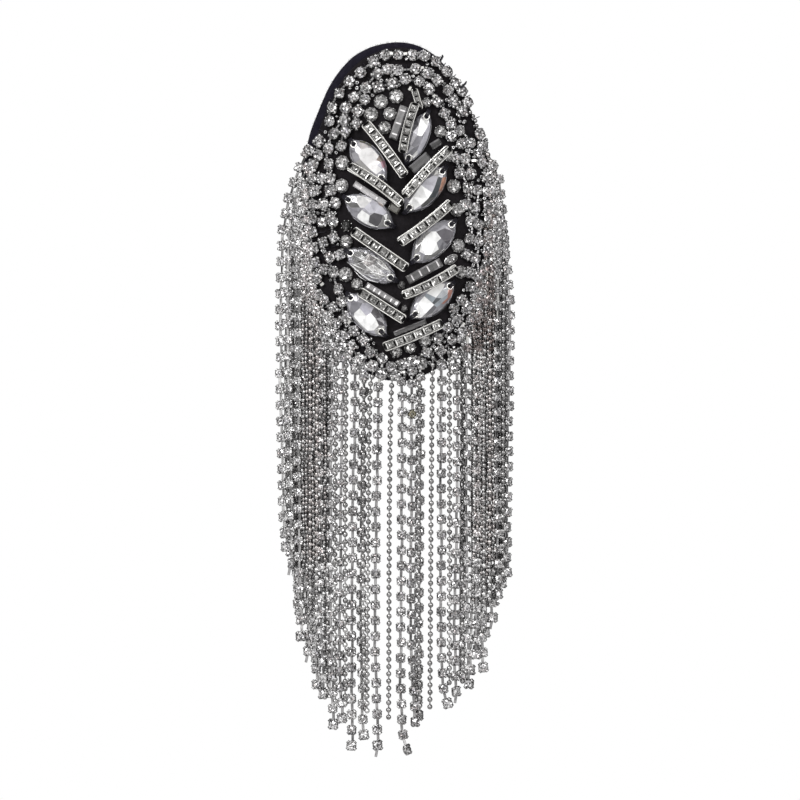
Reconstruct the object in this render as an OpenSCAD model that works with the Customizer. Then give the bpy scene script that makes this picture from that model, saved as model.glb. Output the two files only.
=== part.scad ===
// Tassel epaulette: a stiff felt oval, arched from side to side, with rows of
// rhinestone chain round its rim, a chevron of pointed crystals and channel
// bars on its face, and a long fringe of rhinestone and ball chain.
// +Z is up, the face looks towards -Y, and the origin is the middle of the
// pin wire behind the board. Places on the face are charted on small squares,
// u to the right and v downwards, and gx() and gz() turn them into millimetres.

/* [Chart] */
// Side of one chart square, which sets the size of the whole face
square = 0.30; // [0.30:0.01:0.33]
// Chart column that lies over the pin
u0 = 402; // [400:1:404]
// Chart row that lies over the pin
v0 = 130; // [126:1:134]

/* [Felt board] */
// Radius of the arch at the back of the board
arch_r = 65; // [60:1:75]
// Thickness of the stiff backing felt
backing_t = 2.4; // [2:0.1:2.8]
// Thickness of the face felt that carries the stones
face_t = 1.5; // [1.2:0.1:1.8]
// Width of the backing board
backing_w = 60; // [58:0.5:60.5]
// Length of the backing board
backing_l = 102; // [100:0.5:102.5]
// Width of the face panel
face_w = 58.5; // [56:0.5:58.5]
// Length of the face panel
face_l = 99.6; // [98:0.2:99.6]

/* [Border chains] */
// Width across the cups of the border chain
border_d = 2.7; // [2.4:0.1:2.8]
// Sides of the chain's tube
border_sides = 8; // [8:1:10]

/* [Crystals] */
// Height of a pointed crystal over the felt
marquise_h = 3.6; // [3:0.1:3.6]
// Radius of the two sewing holes in a pointed crystal
sew_hole_r = 0.45; // [0.3:0.05:0.5]
// Height of a round stone
round_h = 2.1; // [1.6:0.1:2.2]
// Height of a plain baguette
baguette_h = 1.9; // [1.5:0.1:2.1]

/* [Channel bars] */
// Height of a channel bar, from its floor to its rails
bar_h = 2.4; // [2:0.1:2.6]
// Thickness of a rail
rail_t = 0.4; // [0.3:0.05:0.5]

/* [Fringe] */
// Thickness of the side bundles, where strands hang two or three deep
side_t = 5.4; // [4.8:0.1:5.6]
// Thickness of the single layer in the middle
middle_t = 3.0; // [2.7:0.1:3.2]
// Diameter of the two lone strands of ball chain
ball_d = 1.5; // [1.2:0.1:1.6]

/* [Pin] */
// Length of the pin's plate
pin_l = 36; // [30:1:40]
// Width of the pin's plate
pin_w = 5; // [4:0.5:6]
// Radius of the pin's wire
wire_r = 0.5; // [0.4:0.05:0.6]
// Distance from the wire to the back of the board
pin_stand = 4.2; // [4:0.1:4.6]

/* [Hidden] */
$fn = 48;
gap = 0.06;                                  // what is laid on a surface clears it by this
r_back = arch_r + backing_t;                 // front of the backing board
r_panel = r_back + gap;                      // back of the face panel
r_face = r_panel + face_t;                   // front of the face panel
arch_y = arch_r - pin_stand;                 // the arch's axis stands this far behind the pin
fringe_r = r_face + 7.4;                     // the fringe hangs in a flatter arc than the board's
fringe_y = arch_y + 6.7;
felt_col = [0.11, 0.10, 0.15];
metal_col = [0.76, 0.76, 0.78];
stone_col = [0.86, 0.88, 0.92];
clear_col = [0.80, 0.82, 0.84];

function gx(u) = (u - u0) * square;
function gz(v) = (v0 - v) * square;

// The three rows of the border: middle of the ellipse, half width and half height, in squares
//          u      v      a     b
OUTER =  [402.0, 213.5, 92.0, 160.5];
MIDDLE = [402.0, 215.5, 80.5, 148.0];
INNER =  [402.0, 213.0, 69.5, 133.0];

// Big round stones: u, v, diameter in squares
ROUNDS = [
    [381.0, 101.8, 14.5], [396.2,  96.6, 14.5], [371.3, 114.4, 14.5], [390.0, 113.8, 13.5],
    [384.8, 127.8, 13.0], [426.5, 102.5, 10.0], [440.0, 131.5, 12.5], [448.6, 156.0, 11.0],
    [342.8, 162.5, 15.0], [342.1, 185.5, 14.5], [453.3, 186.1, 14.5], [456.4, 209.7, 14.0],
    [346.6, 241.5, 13.5], [345.9, 274.4, 15.0], [357.4, 284.2, 12.0], [457.8, 245.7, 14.0],
    [460.2, 271.9, 13.0], [396.3, 351.6, 12.0], [410.0, 347.6, 12.0], [424.9, 340.6, 13.0],
    [347.0, 225.6, 12.0]
];

// Pointed crystals: first tip u, v, second tip u, v, width, all in squares
MARQUISES = [
    [430.0, 111.0, 405.0, 161.0, 26], [350.6, 139.6, 387.0, 183.2, 29],
    [446.3, 166.4, 403.6, 213.5, 29], [343.7, 196.3, 395.0, 227.0, 29],
    [455.7, 219.6, 410.4, 263.0, 30], [345.3, 249.8, 397.9, 281.4, 29],
    [454.2, 282.0, 409.0, 318.5, 29], [347.2, 292.8, 387.4, 336.8, 29]
];

// Channel bars: one end u, v, other end u, v, width in squares, stones, lift in mm
BARS = [
    [413.6,  89.4, 419.8, 110.0,  7.0, 3, 0.2], [366.0, 123.5, 406.0, 177.0, 10.5, 6, 2.5],
    [415.0, 104.0, 402.0, 154.0,  9.5, 6, 3.8], [348.5, 169.5, 400.5, 207.0, 10.0, 6, 2.5],
    [448.0, 148.0, 402.0, 196.0, 10.0, 6, 3.8], [354.0, 231.0, 408.5, 269.0, 10.5, 6, 2.5],
    [450.0, 203.0, 397.5, 243.5, 10.5, 6, 2.5], [358.0, 289.5, 405.5, 320.5, 10.0, 6, 2.7],
    [455.0, 268.0, 401.0, 296.5, 10.0, 6, 2.7], [383.0, 347.5, 442.0, 323.0, 10.0, 6, 2.5]
];

// Plain baguettes: one end u, v, other end u, v, width in squares
BAGUETTES = [
    [404.5, 106.5, 393.0, 139.5, 8.5], [411.0, 172.0, 429.5, 154.5, 8.0],
    [356.4, 179.6, 389.4, 203.0, 5.0], [407.0, 280.6, 441.0, 262.0, 9.0],
    [366.4, 284.9, 399.5, 305.0, 6.0], [394.0, 334.2, 426.0, 321.2, 5.0],
    [440.0, 141.2, 430.5, 147.0, 7.0]
];

// ---- shared shapes ----

// An ellipse's outline on the chart, as points in millimetres
function oval(u, v, a, b, n = 72) =
    [for (i = [0 : n - 1]) [gx(u) + a * square * cos(i * 360 / n), gz(v) + b * square * sin(i * 360 / n)]];

// A flat outline in X and Z, drawn through the whole depth
module through(points) {
    rotate([90, 0, 0]) linear_extrude(height = 60, center = true) polygon(points);
}

// The space between two radii of an arch whose axis is upright
module shell(r1, r2, y) {
    translate([0, y, -200]) difference() {
        cylinder(r = r2, h = 260, $fn = 180);
        translate([0, 0, -1]) cylinder(r = r1, h = 262, $fn = 180);
    }
}

// Children are drawn with x to the right, y upwards and z outwards, and laid
// on the arched face over chart place u, v
module on_face(u, v, lift = gap, turn = 0) {
    translate([0, arch_y, 0])
        rotate([0, 0, asin(gx(u) / r_face)])
            translate([0, -(r_face + lift), gz(v)])
                rotate([90, 0, 0])
                    rotate([0, 0, turn])
                        children();
}

// The same, for a long piece between two chart places
module between(p, lift = gap) {
    du = p[2] - p[0];
    dv = p[1] - p[3];
    on_face((p[0] + p[2]) / 2, (p[1] + p[3]) / 2, lift, atan2(dv, du))
        children();
}
function span(p) = norm([p[2] - p[0], p[3] - p[1]]) * square;

// ---- tube on the face, for the border chains ----

function unit(p) = p / norm(p);
function route_point(row, t, r) =
    let (x = gx(row[0]) + row[2] * square * cos(t))
    [x, arch_y - sqrt(r * r - x * x), gz(row[1]) + row[3] * square * sin(t)];
function ring(p, along, r, sides) =
    let (out0 = unit([p[0], p[1] - arch_y, 0]),
         out = unit(out0 - (out0 * along) * along),
         side = cross(along, out))
    [for (k = [0 : sides - 1]) p + r * (cos(k * 360 / sides) * out + sin(k * 360 / sides) * side)];

// A tube along a row from angle t1 to angle t2, closed on itself when they are a full turn apart
module row_tube(row, t1, t2, steps) {
    loop = abs(t2 - t1) >= 360;
    n = loop ? steps : steps + 1;
    m = border_sides;
    r = border_d / 2;
    path = [for (i = [0 : n - 1]) route_point(row, t1 + (t2 - t1) * i / steps, r_face + 2 * gap + r)];
    points = [for (i = [0 : n - 1])
        let (a = loop ? path[(i + n - 1) % n] : path[max(i - 1, 0)],
             b = loop ? path[(i + 1) % n] : path[min(i + 1, n - 1)])
        each ring(path[i], unit(b - a), r, m)];
    walls = [for (i = [0 : (loop ? n : n - 1) - 1], k = [0 : m - 1])
        let (i2 = (i + 1) % n, k2 = (k + 1) % m)
        each [[i * m + k, i * m + k2, i2 * m + k2], [i * m + k, i2 * m + k2, i2 * m + k]]];
    ends = loop ? [] : [[for (k = [m - 1 : -1 : 0]) k], [for (k = [0 : m - 1]) (n - 1) * m + k]];
    polyhedron(points, concat(walls, ends));
}

// ---- felt ----

module backing_board() {
    color(felt_col) intersection() {
        through(oval(398, 211.3, backing_w / 2 / square, backing_l / 2 / square));
        shell(arch_r, r_back, arch_y);
    }
}

module face_panel() {
    color(felt_col) intersection() {
        through(oval(402.5, 213.5, face_w / 2 / square, face_l / 2 / square));
        shell(r_panel, r_face, arch_y);
    }
}

// ---- border of rhinestone chain ----

module border_chain_outer() { color(metal_col) row_tube(OUTER, 90, 450, 28); }
module border_chain_middle() { color(metal_col) row_tube(MIDDLE, 90, 450, 24); }
// The inner row runs over the top, and a short length of it lies at the left
module border_chain_inner() { color(metal_col) row_tube(INNER, 146, -11, 20); }
module border_chain_inner_left() { color(metal_col) row_tube(INNER, 174, 199, 5); }

// ---- stones ----

module round_stone(i) {
    s = ROUNDS[i];
    r = s[2] / 2 * square;
    color(stone_col) on_face(s[0], s[1]) {
        cylinder(r = r, h = round_h * 0.45);
        translate([0, 0, round_h * 0.45]) cylinder(r1 = r, r2 = r * 0.6, h = round_h * 0.55);
    }
}

// Half of a pointed outline, tip to tip, n steps
function lens_half(l, w, n, s) = [for (i = [0 : n - 1]) let (q = 2 * i / n - 1) [q * l / 2 * s, (1 - q * q) * w / 2 * s]];
function lens(l, w, n, s) = concat(lens_half(l, w, n, s), [for (p = lens_half(l, w, n, s)) -p]);

module marquise(i) {
    s = MARQUISES[i];
    l = span(s);
    w = s[4] * square;
    n = 8;
    m = 2 * n;
    // level, share of the outline
    levels = [[0, 0.93], [0.6, 1], [1.3, 1], [2.6, 0.74], [marquise_h, 0.44]];
    points = [for (q = levels) each [for (p = lens(l, w, n, q[1])) [p[0], p[1], q[0]]]];
    walls = [for (j = [0 : len(levels) - 2], k = [0 : m - 1])
        let (k2 = (k + 1) % m)
        each [[j * m + k, j * m + k2, (j + 1) * m + k2], [j * m + k, (j + 1) * m + k2, (j + 1) * m + k]]];
    ends = [[for (k = [m - 1 : -1 : 0]) k], [for (k = [0 : m - 1]) (len(levels) - 1) * m + k]];
    color(clear_col) between(s) difference() {
        polyhedron(points, concat(walls, ends));
        for (side = [-1, 1])
            translate([side * l * 0.405, 0, -1]) cylinder(r = sew_hole_r, h = marquise_h + 2, $fn = 24);
    }
}

// A metal channel with two rails, and square stones set between them
module channel_bar(i) {
    s = BARS[i];
    l = span(s);
    w = s[4] * square;
    n = s[5];
    cell = l / n;
    color(metal_col) between(s, s[6]) {
        translate([-l / 2, -w / 2, 0]) cube([l, w, 0.7]);
        for (side = [-1, 1])
            translate([-l / 2, side * (w - rail_t) / 2 - rail_t / 2, 0]) cube([l, rail_t, bar_h]);
        for (k = [0 : n - 1])
            translate([-l / 2 + cell * (k + 0.5), 0, 0]) {
                translate([-(cell - 0.4) / 2, -(w - rail_t) / 2, 0.5]) cube([cell - 0.4, w - rail_t, bar_h - 0.8]);
                translate([-(cell - 1.1) / 2, -(w - 3 * rail_t) / 2, 0.5]) cube([cell - 1.1, w - 3 * rail_t, bar_h - 0.5]);
            }
    }
}

// A bar of glass with its top bevelled all round
module baguette(i) {
    s = BAGUETTES[i];
    l = span(s);
    w = s[4] * square;
    bevel = min(w * 0.25, 0.6);
    h = baguette_h;
    color(clear_col) between(s) intersection() {
        rotate([90, 0, 0]) linear_extrude(height = w + 1, center = true)
            polygon([[-l / 2, 0], [l / 2, 0], [l / 2, h - bevel], [l / 2 - bevel, h], [bevel - l / 2, h], [-l / 2, h - bevel]]);
        rotate([90, 0, 90]) linear_extrude(height = l + 1, center = true)
            polygon([[-w / 2, 0], [w / 2, 0], [w / 2, h - bevel], [w / 2 - bevel, h], [bevel - w / 2, h], [-w / 2, h - bevel]]);
    }
}

// ---- fringe ----

// Outlines of the bundles on the chart, downwards from the board's rim to the
// strands' ends. Each runs over the board, whose own outline is then cut away.
LEFT = [[310, 152], [298, 164], [290, 180], [285, 208], [281, 250], [278, 325], [275.5, 420], [275.5, 535],
    [283, 552], [290, 579], [300, 643], [306, 662], [316, 690], [331, 716], [333, 729], [346, 729], [346, 350]];
MIDDLE_LEFT = [[347, 340], [347, 748], [359, 748], [372, 757], [383, 757], [383, 360]];
CENTRE = [[397, 370], [397, 742], [402, 756], [415, 756], [417, 726], [424, 720], [424, 360]];
MIDDLE_RIGHT = [[437, 340], [437, 712], [450, 712], [453, 705], [470, 700], [470, 330]];
RIGHT = [[471, 330], [471, 686], [479, 686], [490, 674], [499, 632], [506, 602], [514, 580], [514, 440],
    [514, 300], [511, 268], [508, 236], [505, 209], [505, 194], [502, 178], [494, 166]];

function charted(list) = [for (p = list) [gx(p[0]), gz(p[1])]];

// A bundle of strands as one solid of its outer form, hung in the fringe's
// own arc and cut clear of the board
module bundle(outline, t) {
    color(metal_col) difference() {
        intersection() {
            through(charted(outline));
            shell(fringe_r - t, fringe_r, fringe_y);
            translate([-60, -30, -220]) cube([120, 34.6, 260]);
        }
        through(oval(400, 212, 103.5, 172));
    }
}

module fringe_left() { bundle(LEFT, side_t); }
module fringe_middle_left() { bundle(MIDDLE_LEFT, middle_t); }
module fringe_centre() { bundle(CENTRE, middle_t); }
module fringe_middle_right() { bundle(MIDDLE_RIGHT, middle_t); }
module fringe_right() { bundle(RIGHT, side_t); }

// A lone strand of ball chain, from u, v down to u, v
module ball_strand(u1, v1, u2, v2) {
    drop = (v2 - v1) * square;
    run = (u2 - u1) * square;
    x = gx((u1 + u2) / 2);
    y = fringe_y - sqrt(pow(fringe_r - middle_t / 2, 2) - x * x);
    color(metal_col) translate([x, y, gz((v1 + v2) / 2)])
        rotate([0, -atan2(run, drop), 0])
            cylinder(d = ball_d, h = norm([drop, run]), center = true, $fn = 24);
}
module ball_strand_left() { ball_strand(391.4, 386, 388.4, 719); }
module ball_strand_right() { ball_strand(432.0, 382, 429.8, 709); }

// ---- pin on the back, one plain piece: plate, two posts and the closed wire ----

module pin_back() {
    y_plate = -pin_stand + gap;
    color(metal_col) union() {
        translate([-pin_w / 2, y_plate, -pin_l / 2]) cube([pin_w, 0.8, pin_l]);
        for (z = [-1, 1]) translate([0, y_plate, z * (pin_l / 2 - 2.5)])
            rotate([-90, 0, 0]) cylinder(r = 1.1, h = -y_plate + wire_r + 0.3);
        translate([0, 0, -pin_l / 2 + 1]) cylinder(r = wire_r, h = pin_l - 2);
    }
}

backing_board();
face_panel();
border_chain_outer();
border_chain_middle();
border_chain_inner();
border_chain_inner_left();
for (i = [0 : len(ROUNDS) - 1])
    round_stone(i);
for (i = [0 : len(MARQUISES) - 1])
    marquise(i);
for (i = [0 : len(BARS) - 1])
    channel_bar(i);
for (i = [0 : len(BAGUETTES) - 1])
    baguette(i);
fringe_left();
fringe_middle_left();
ball_strand_left();
fringe_centre();
ball_strand_right();
fringe_middle_right();
fringe_right();
pin_back();
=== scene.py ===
import bpy
import bmesh
import numpy as np
from math import sin, cos, asin, acos, atan2, pi, radians, sqrt, hypot, floor
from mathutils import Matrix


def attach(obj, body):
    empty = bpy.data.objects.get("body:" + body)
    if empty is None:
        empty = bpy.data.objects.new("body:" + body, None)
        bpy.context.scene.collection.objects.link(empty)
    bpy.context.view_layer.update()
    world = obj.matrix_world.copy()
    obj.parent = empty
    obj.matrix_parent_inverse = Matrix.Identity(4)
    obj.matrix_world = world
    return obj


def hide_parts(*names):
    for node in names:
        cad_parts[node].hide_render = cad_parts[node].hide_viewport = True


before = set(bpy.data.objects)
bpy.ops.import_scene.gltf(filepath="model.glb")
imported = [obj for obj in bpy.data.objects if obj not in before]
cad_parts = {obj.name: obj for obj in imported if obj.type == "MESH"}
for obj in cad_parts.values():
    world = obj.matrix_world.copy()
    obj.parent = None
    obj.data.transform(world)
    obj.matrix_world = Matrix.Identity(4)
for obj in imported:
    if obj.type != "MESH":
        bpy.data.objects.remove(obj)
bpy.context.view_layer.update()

scene = bpy.context.scene
MM = 0.001

# ------------------------------------------------------------------ camera --
PX = 0.30                      # millimetres for one chart square at the face
cam = bpy.data.cameras.new("camera")
cam.lens = 200.0
cam.sensor_width = 36.0
cam.clip_start = 0.05
cam.clip_end = 30.0
cam_ob = bpy.data.objects.new("camera", cam)
scene.collection.objects.link(cam_ob)
cam_ob.location = (-0.0006, -1.3413, -0.0810)
cam_ob.rotation_euler = (pi / 2, 0.0, 0.0)
scene.camera = cam_ob
scene.view_settings.view_transform = "Standard"
scene.view_settings.look = "None"
scene.view_settings.exposure = 0.0
scene.view_settings.gamma = 1.0

# ------------------------------------------------- the same chart as in CAD --
R_BACK_IN, R_BACK, R_PANEL, R_FACE = 65.0, 67.4, 67.46, 68.96
ARCH_Y = 60.8
FRINGE_R, FRINGE_Y = 76.36, 67.5


def gx(u):
    return (u - 402.0) * PX


def gz(v):
    return (130.0 - v) * PX


def on_face(u, v, lift=0.06, turn=0.0, scale=1.0, tilt=(0.0, 0.0)):
    """4 x 4 in mm: x right, y up, z outwards, at chart place u, v on the arched face."""
    phi = asin(gx(u) / R_FACE)
    r = R_FACE + lift
    ex = np.array([cos(phi), sin(phi), 0.0])
    ey = np.array([0.0, 0.0, 1.0])
    ez = np.array([sin(phi), -cos(phi), 0.0])
    m = np.eye(4)
    c, s = cos(turn), sin(turn)
    basis = np.stack([c * ex + s * ey, -s * ex + c * ey, ez], axis=1)
    ax, ay = tilt
    rx = np.array([[1, 0, 0], [0, cos(ax), -sin(ax)], [0, sin(ax), cos(ax)]])
    ry = np.array([[cos(ay), 0, sin(ay)], [0, 1, 0], [-sin(ay), 0, cos(ay)]])
    m[:3, :3] = basis @ rx @ ry * scale
    m[:3, 3] = [r * sin(phi), ARCH_Y - r * cos(phi), gz(v)]
    return m


def face_y(x, r=R_FACE):
    return ARCH_Y - sqrt(max(r * r - x * x, 0.0))


# ------------------------------------------------------------ node helpers --
def node(tree, kind, x=0, y=0, **values):
    n = tree.nodes.new(kind)
    n.location = (x, y)
    for k, v in values.items():
        setattr(n, k, v)
    return n


def new_material(name):
    m = bpy.data.materials.new(name)
    m.use_nodes = True
    t = m.node_tree
    b = t.nodes["Principled BSDF"]
    return m, t, b


def set_in(n, **values):
    names = dict(color="Base Color", metal="Metallic", rough="Roughness", coat="Coat Weight", coat_rough="Coat Roughness",
                 sheen="Sheen Weight", sheen_rough="Sheen Roughness", sheen_tint="Sheen Tint", spec="Specular IOR Level",
                 ior="IOR", coat_ior="Coat IOR", emit="Emission Color", emit_s="Emission Strength")
    for k, v in values.items():
        n.inputs[names[k]].default_value = v


def link(t, a, b):
    t.links.new(a, b)


def ramp(t, stops, x=0, y=0, interpolation="LINEAR"):
    n = node(t, "ShaderNodeValToRGB", x, y)
    r = n.color_ramp
    r.interpolation = interpolation
    while len(r.elements) > 1:
        r.elements.remove(r.elements[-1])
    r.elements[0].position = stops[0][0]
    r.elements[0].color = (*stops[0][1], 1.0)
    for p, c in stops[1:]:
        e = r.elements.new(p)
        e.color = (*c, 1.0)
    return n


def grey(v, tint=(1.0, 1.0, 1.0)):
    return (v * tint[0], v * tint[1], v * tint[2])


# --------------------------------------------------------------- materials --
def metal_material(name, dark, light, rough, cell, patina=0.25):
    """Plated metal with fine uneven polish and a patchy, slightly uneven tone."""
    m, t, b = new_material(name)
    pos = node(t, "ShaderNodeTexCoord", -1100, 0)
    n1 = node(t, "ShaderNodeTexNoise", -900, 120)
    n1.inputs["Scale"].default_value = cell
    n1.inputs["Detail"].default_value = 3.0
    link(t, pos.outputs["Object"], n1.inputs["Vector"])
    n2 = node(t, "ShaderNodeTexNoise", -900, -160)
    n2.inputs["Scale"].default_value = cell * 0.22
    n2.inputs["Detail"].default_value = 2.0
    link(t, pos.outputs["Object"], n2.inputs["Vector"])
    r1 = ramp(t, [(0.36, dark), (0.60, light)], -650, 120)
    link(t, n2.outputs["Fac"], r1.inputs["Fac"])
    link(t, r1.outputs["Color"], b.inputs["Base Color"])
    mr = node(t, "ShaderNodeMapRange", -650, -160)
    mr.inputs["From Min"].default_value = 0.3
    mr.inputs["From Max"].default_value = 0.7
    mr.inputs["To Min"].default_value = rough * (1 - patina)
    mr.inputs["To Max"].default_value = rough * (1 + patina * 1.6)
    link(t, n1.outputs["Fac"], mr.inputs["Value"])
    link(t, mr.outputs["Result"], b.inputs["Roughness"])
    set_in(b, metal=1.0)
    return m


def crystal_material(name, metal, rough, coat, cell=2600.0, wave=0.0, lift=0.0):
    """Foiled glass: each facet has its own painted tone, light or dark in place of the reflections it shows, seen under
    a clear polished skin.
    """
    m, t, b = new_material(name)
    a = node(t, "ShaderNodeAttribute", -1100, 200)
    a.attribute_name = "tone"
    pos = node(t, "ShaderNodeTexCoord", -1300, -80)
    v = node(t, "ShaderNodeTexNoise", -1100, -80)
    v.inputs["Scale"].default_value = cell
    v.inputs["Detail"].default_value = 2.0
    v.inputs["Roughness"].default_value = 0.6
    link(t, pos.outputs["Object"], v.inputs["Vector"])
    r = ramp(t, [(0.33, grey(0.80)), (0.5, grey(0.95)), (0.68, grey(1.0))], -850, -80)
    link(t, v.outputs["Fac"], r.inputs["Fac"])
    mix = node(t, "ShaderNodeMix", -550, 120, data_type="RGBA", blend_type="MULTIPLY")
    mix.inputs["Factor"].default_value = 1.0
    link(t, a.outputs["Color"], mix.inputs["A"])
    link(t, r.outputs["Color"], mix.inputs["B"])
    link(t, mix.outputs["Result"], b.inputs["Base Color"])
    # lift would make the facet tones glow a little: a painted glow, not a lamp
    if lift:
        link(t, mix.outputs["Result"], b.inputs["Emission Color"])
        b.inputs["Emission Strength"].default_value = lift
    if wave:
        w = node(t, "ShaderNodeTexWave", -850, -360, wave_type="BANDS", bands_direction="DIAGONAL")
        w.inputs["Scale"].default_value = 420.0
        w.inputs["Distortion"].default_value = 7.0
        w.inputs["Detail"].default_value = 2.0
        w.inputs["Detail Scale"].default_value = 1.2
        link(t, pos.outputs["Object"], w.inputs["Vector"])
        bump = node(t, "ShaderNodeBump", -350, -300)
        bump.inputs["Strength"].default_value = wave
        bump.inputs["Distance"].default_value = 0.0003
        link(t, w.outputs["Fac"], bump.inputs["Height"])
        link(t, bump.outputs["Normal"], b.inputs["Normal"])
    set_in(b, metal=metal, rough=rough, coat=coat, coat_rough=0.03, coat_ior=1.55)
    return m


def felt_material(name, dark, light):
    m, t, b = new_material(name)
    pos = node(t, "ShaderNodeTexCoord", -1300, 0)
    n1 = node(t, "ShaderNodeTexNoise", -1100, 150)
    n1.inputs["Scale"].default_value = 900.0
    n1.inputs["Detail"].default_value = 5.0
    n1.inputs["Roughness"].default_value = 0.7
    link(t, pos.outputs["Object"], n1.inputs["Vector"])
    v1 = node(t, "ShaderNodeTexVoronoi", -1100, -150, feature="DISTANCE_TO_EDGE")
    v1.inputs["Scale"].default_value = 2600.0
    stretch = node(t, "ShaderNodeMapping", -1280, -250)
    stretch.inputs["Scale"].default_value = (1.0, 1.0, 0.35)
    stretch.inputs["Rotation"].default_value = (0.2, 0.6, 0.4)
    link(t, pos.outputs["Object"], stretch.inputs["Vector"])
    link(t, stretch.outputs["Vector"], v1.inputs["Vector"])
    r = ramp(t, [(0.30, dark), (0.62, light), (0.80, tuple(2.2 * c for c in light))], -800, 150)
    link(t, n1.outputs["Fac"], r.inputs["Fac"])
    link(t, r.outputs["Color"], b.inputs["Base Color"])
    add = node(t, "ShaderNodeMath", -800, -150, operation="ADD")
    link(t, n1.outputs["Fac"], add.inputs[0])
    link(t, v1.outputs["Distance"], add.inputs[1])
    bump = node(t, "ShaderNodeBump", -400, -200)
    bump.inputs["Strength"].default_value = 0.75
    bump.inputs["Distance"].default_value = 0.0002
    link(t, add.outputs[0], bump.inputs["Height"])
    link(t, bump.outputs["Normal"], b.inputs["Normal"])
    set_in(b, rough=0.95, sheen=0.05, sheen_rough=0.45, sheen_tint=(0.55, 0.52, 0.75, 1.0), spec=0.15)
    return m


def thread_material(name, colour):
    m, t, b = new_material(name)
    pos = node(t, "ShaderNodeTexCoord", -900, 0)
    w = node(t, "ShaderNodeTexWave", -700, 0, wave_type="BANDS", bands_direction="DIAGONAL")
    w.inputs["Scale"].default_value = 900.0
    w.inputs["Distortion"].default_value = 2.0
    link(t, pos.outputs["Object"], w.inputs["Vector"])
    r = ramp(t, [(0.2, tuple(0.6 * c for c in colour)), (0.9, tuple(1.8 * c for c in colour))], -450, 0)
    link(t, w.outputs["Fac"], r.inputs["Fac"])
    link(t, r.outputs["Color"], b.inputs["Base Color"])
    bump = node(t, "ShaderNodeBump", -300, -250)
    bump.inputs["Strength"].default_value = 0.6
    bump.inputs["Distance"].default_value = 0.0001
    link(t, w.outputs["Fac"], bump.inputs["Height"])
    link(t, bump.outputs["Normal"], b.inputs["Normal"])
    set_in(b, rough=0.55, spec=0.35)
    return m


FELT = felt_material("felt_navy_black", (0.0082, 0.0070, 0.0078), (0.0150, 0.0130, 0.0148))
FELT_RIM = felt_material("felt_navy_rim", (0.0078, 0.0068, 0.0120), (0.0150, 0.0134, 0.0225))
FELT_FUZZ = felt_material("felt_fibre", (0.010, 0.009, 0.015), (0.018, 0.0165, 0.027))
SILVER = metal_material("plated_silver", (0.42, 0.415, 0.415), (0.74, 0.735, 0.73), 0.26, 2600.0)
DARK_SILVER = metal_material("cup_wall_silver", (0.24, 0.237, 0.238), (0.56, 0.552, 0.552), 0.22, 2600.0)
LINK_METAL = metal_material("link_silver", (0.20, 0.197, 0.198), (0.42, 0.414, 0.416), 0.28, 1500.0)
# channel_floor: near-black metal for the floor and end walls of the channel bars, painted shade between and beside the
# stones
CHANNEL_SHADE_METAL = metal_material("channel_floor", (0.010, 0.010, 0.011), (0.035, 0.034, 0.034), 0.45, 1500.0)
# ball_chain_shaded is a warm brownish copy of the ball chain silver, painted for the shade among the dense strands;
# ball_chain_deep_shade is a dark copy, painted shade
BEAD_BROWN = metal_material("ball_chain_shaded", (0.31, 0.288, 0.282), (0.55, 0.520, 0.510), 0.24, 2200.0)
BEAD_DEEP = metal_material("ball_chain_deep_shade", (0.09, 0.075, 0.070), (0.25, 0.215, 0.205), 0.24, 2200.0)
BEAD_METAL = metal_material("ball_chain_silver", (0.22, 0.216, 0.216), (0.42, 0.414, 0.412), 0.22, 2200.0)
RAIL_METAL = metal_material("rail_silver", (0.86, 0.85, 0.81), (0.97, 0.965, 0.94), 0.22, 3000.0)
SEED_METAL = metal_material("seed_bead_silver", (0.27, 0.268, 0.270), (0.52, 0.516, 0.520), 0.20, 2600.0)
NICKEL = metal_material("pin_nickel", (0.55, 0.54, 0.52), (0.72, 0.71, 0.69), 0.24, 900.0)
SMALL_CRYSTAL = crystal_material("small_crystal", 0.58, 0.10, 0.6)
ROUND_CRYSTAL = crystal_material("round_crystal", 0.36, 0.10, 0.8)
POINTED_CRYSTAL = crystal_material("pointed_crystal", 0.28, 0.06, 0.8, cell=700.0)
WAVY_CRYSTAL = crystal_material("pointed_crystal_clear", 0.55, 0.05, 1.0, cell=700.0, wave=1.0)
CRYSTAL_EDGE = crystal_material("crystal_edge", 0.45, 0.08, 1.0)
GLASS_BAR = crystal_material("glass_bar", 0.45, 0.10, 1.0, cell=1500.0)
THREAD = thread_material("black_thread", (0.010, 0.009, 0.014))
CHAIN_MATS = [SILVER, SMALL_CRYSTAL, BEAD_METAL, DARK_SILVER, LINK_METAL, SEED_METAL, THREAD, RAIL_METAL, BEAD_BROWN, BEAD_DEEP]
FLOOR_MAT, _t, _b = new_material("floor_paper")
_n = node(_t, "ShaderNodeTexNoise", -600, 0)
_n.inputs["Scale"].default_value = 180.0
_r = ramp(_t, [(0.3, grey(0.80)), (0.7, grey(0.86))], -350, 0)
link(_t, _n.outputs["Fac"], _r.inputs["Fac"])
link(_t, _r.outputs["Color"], _b.inputs["Base Color"])
set_in(_b, rough=0.85)


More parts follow.
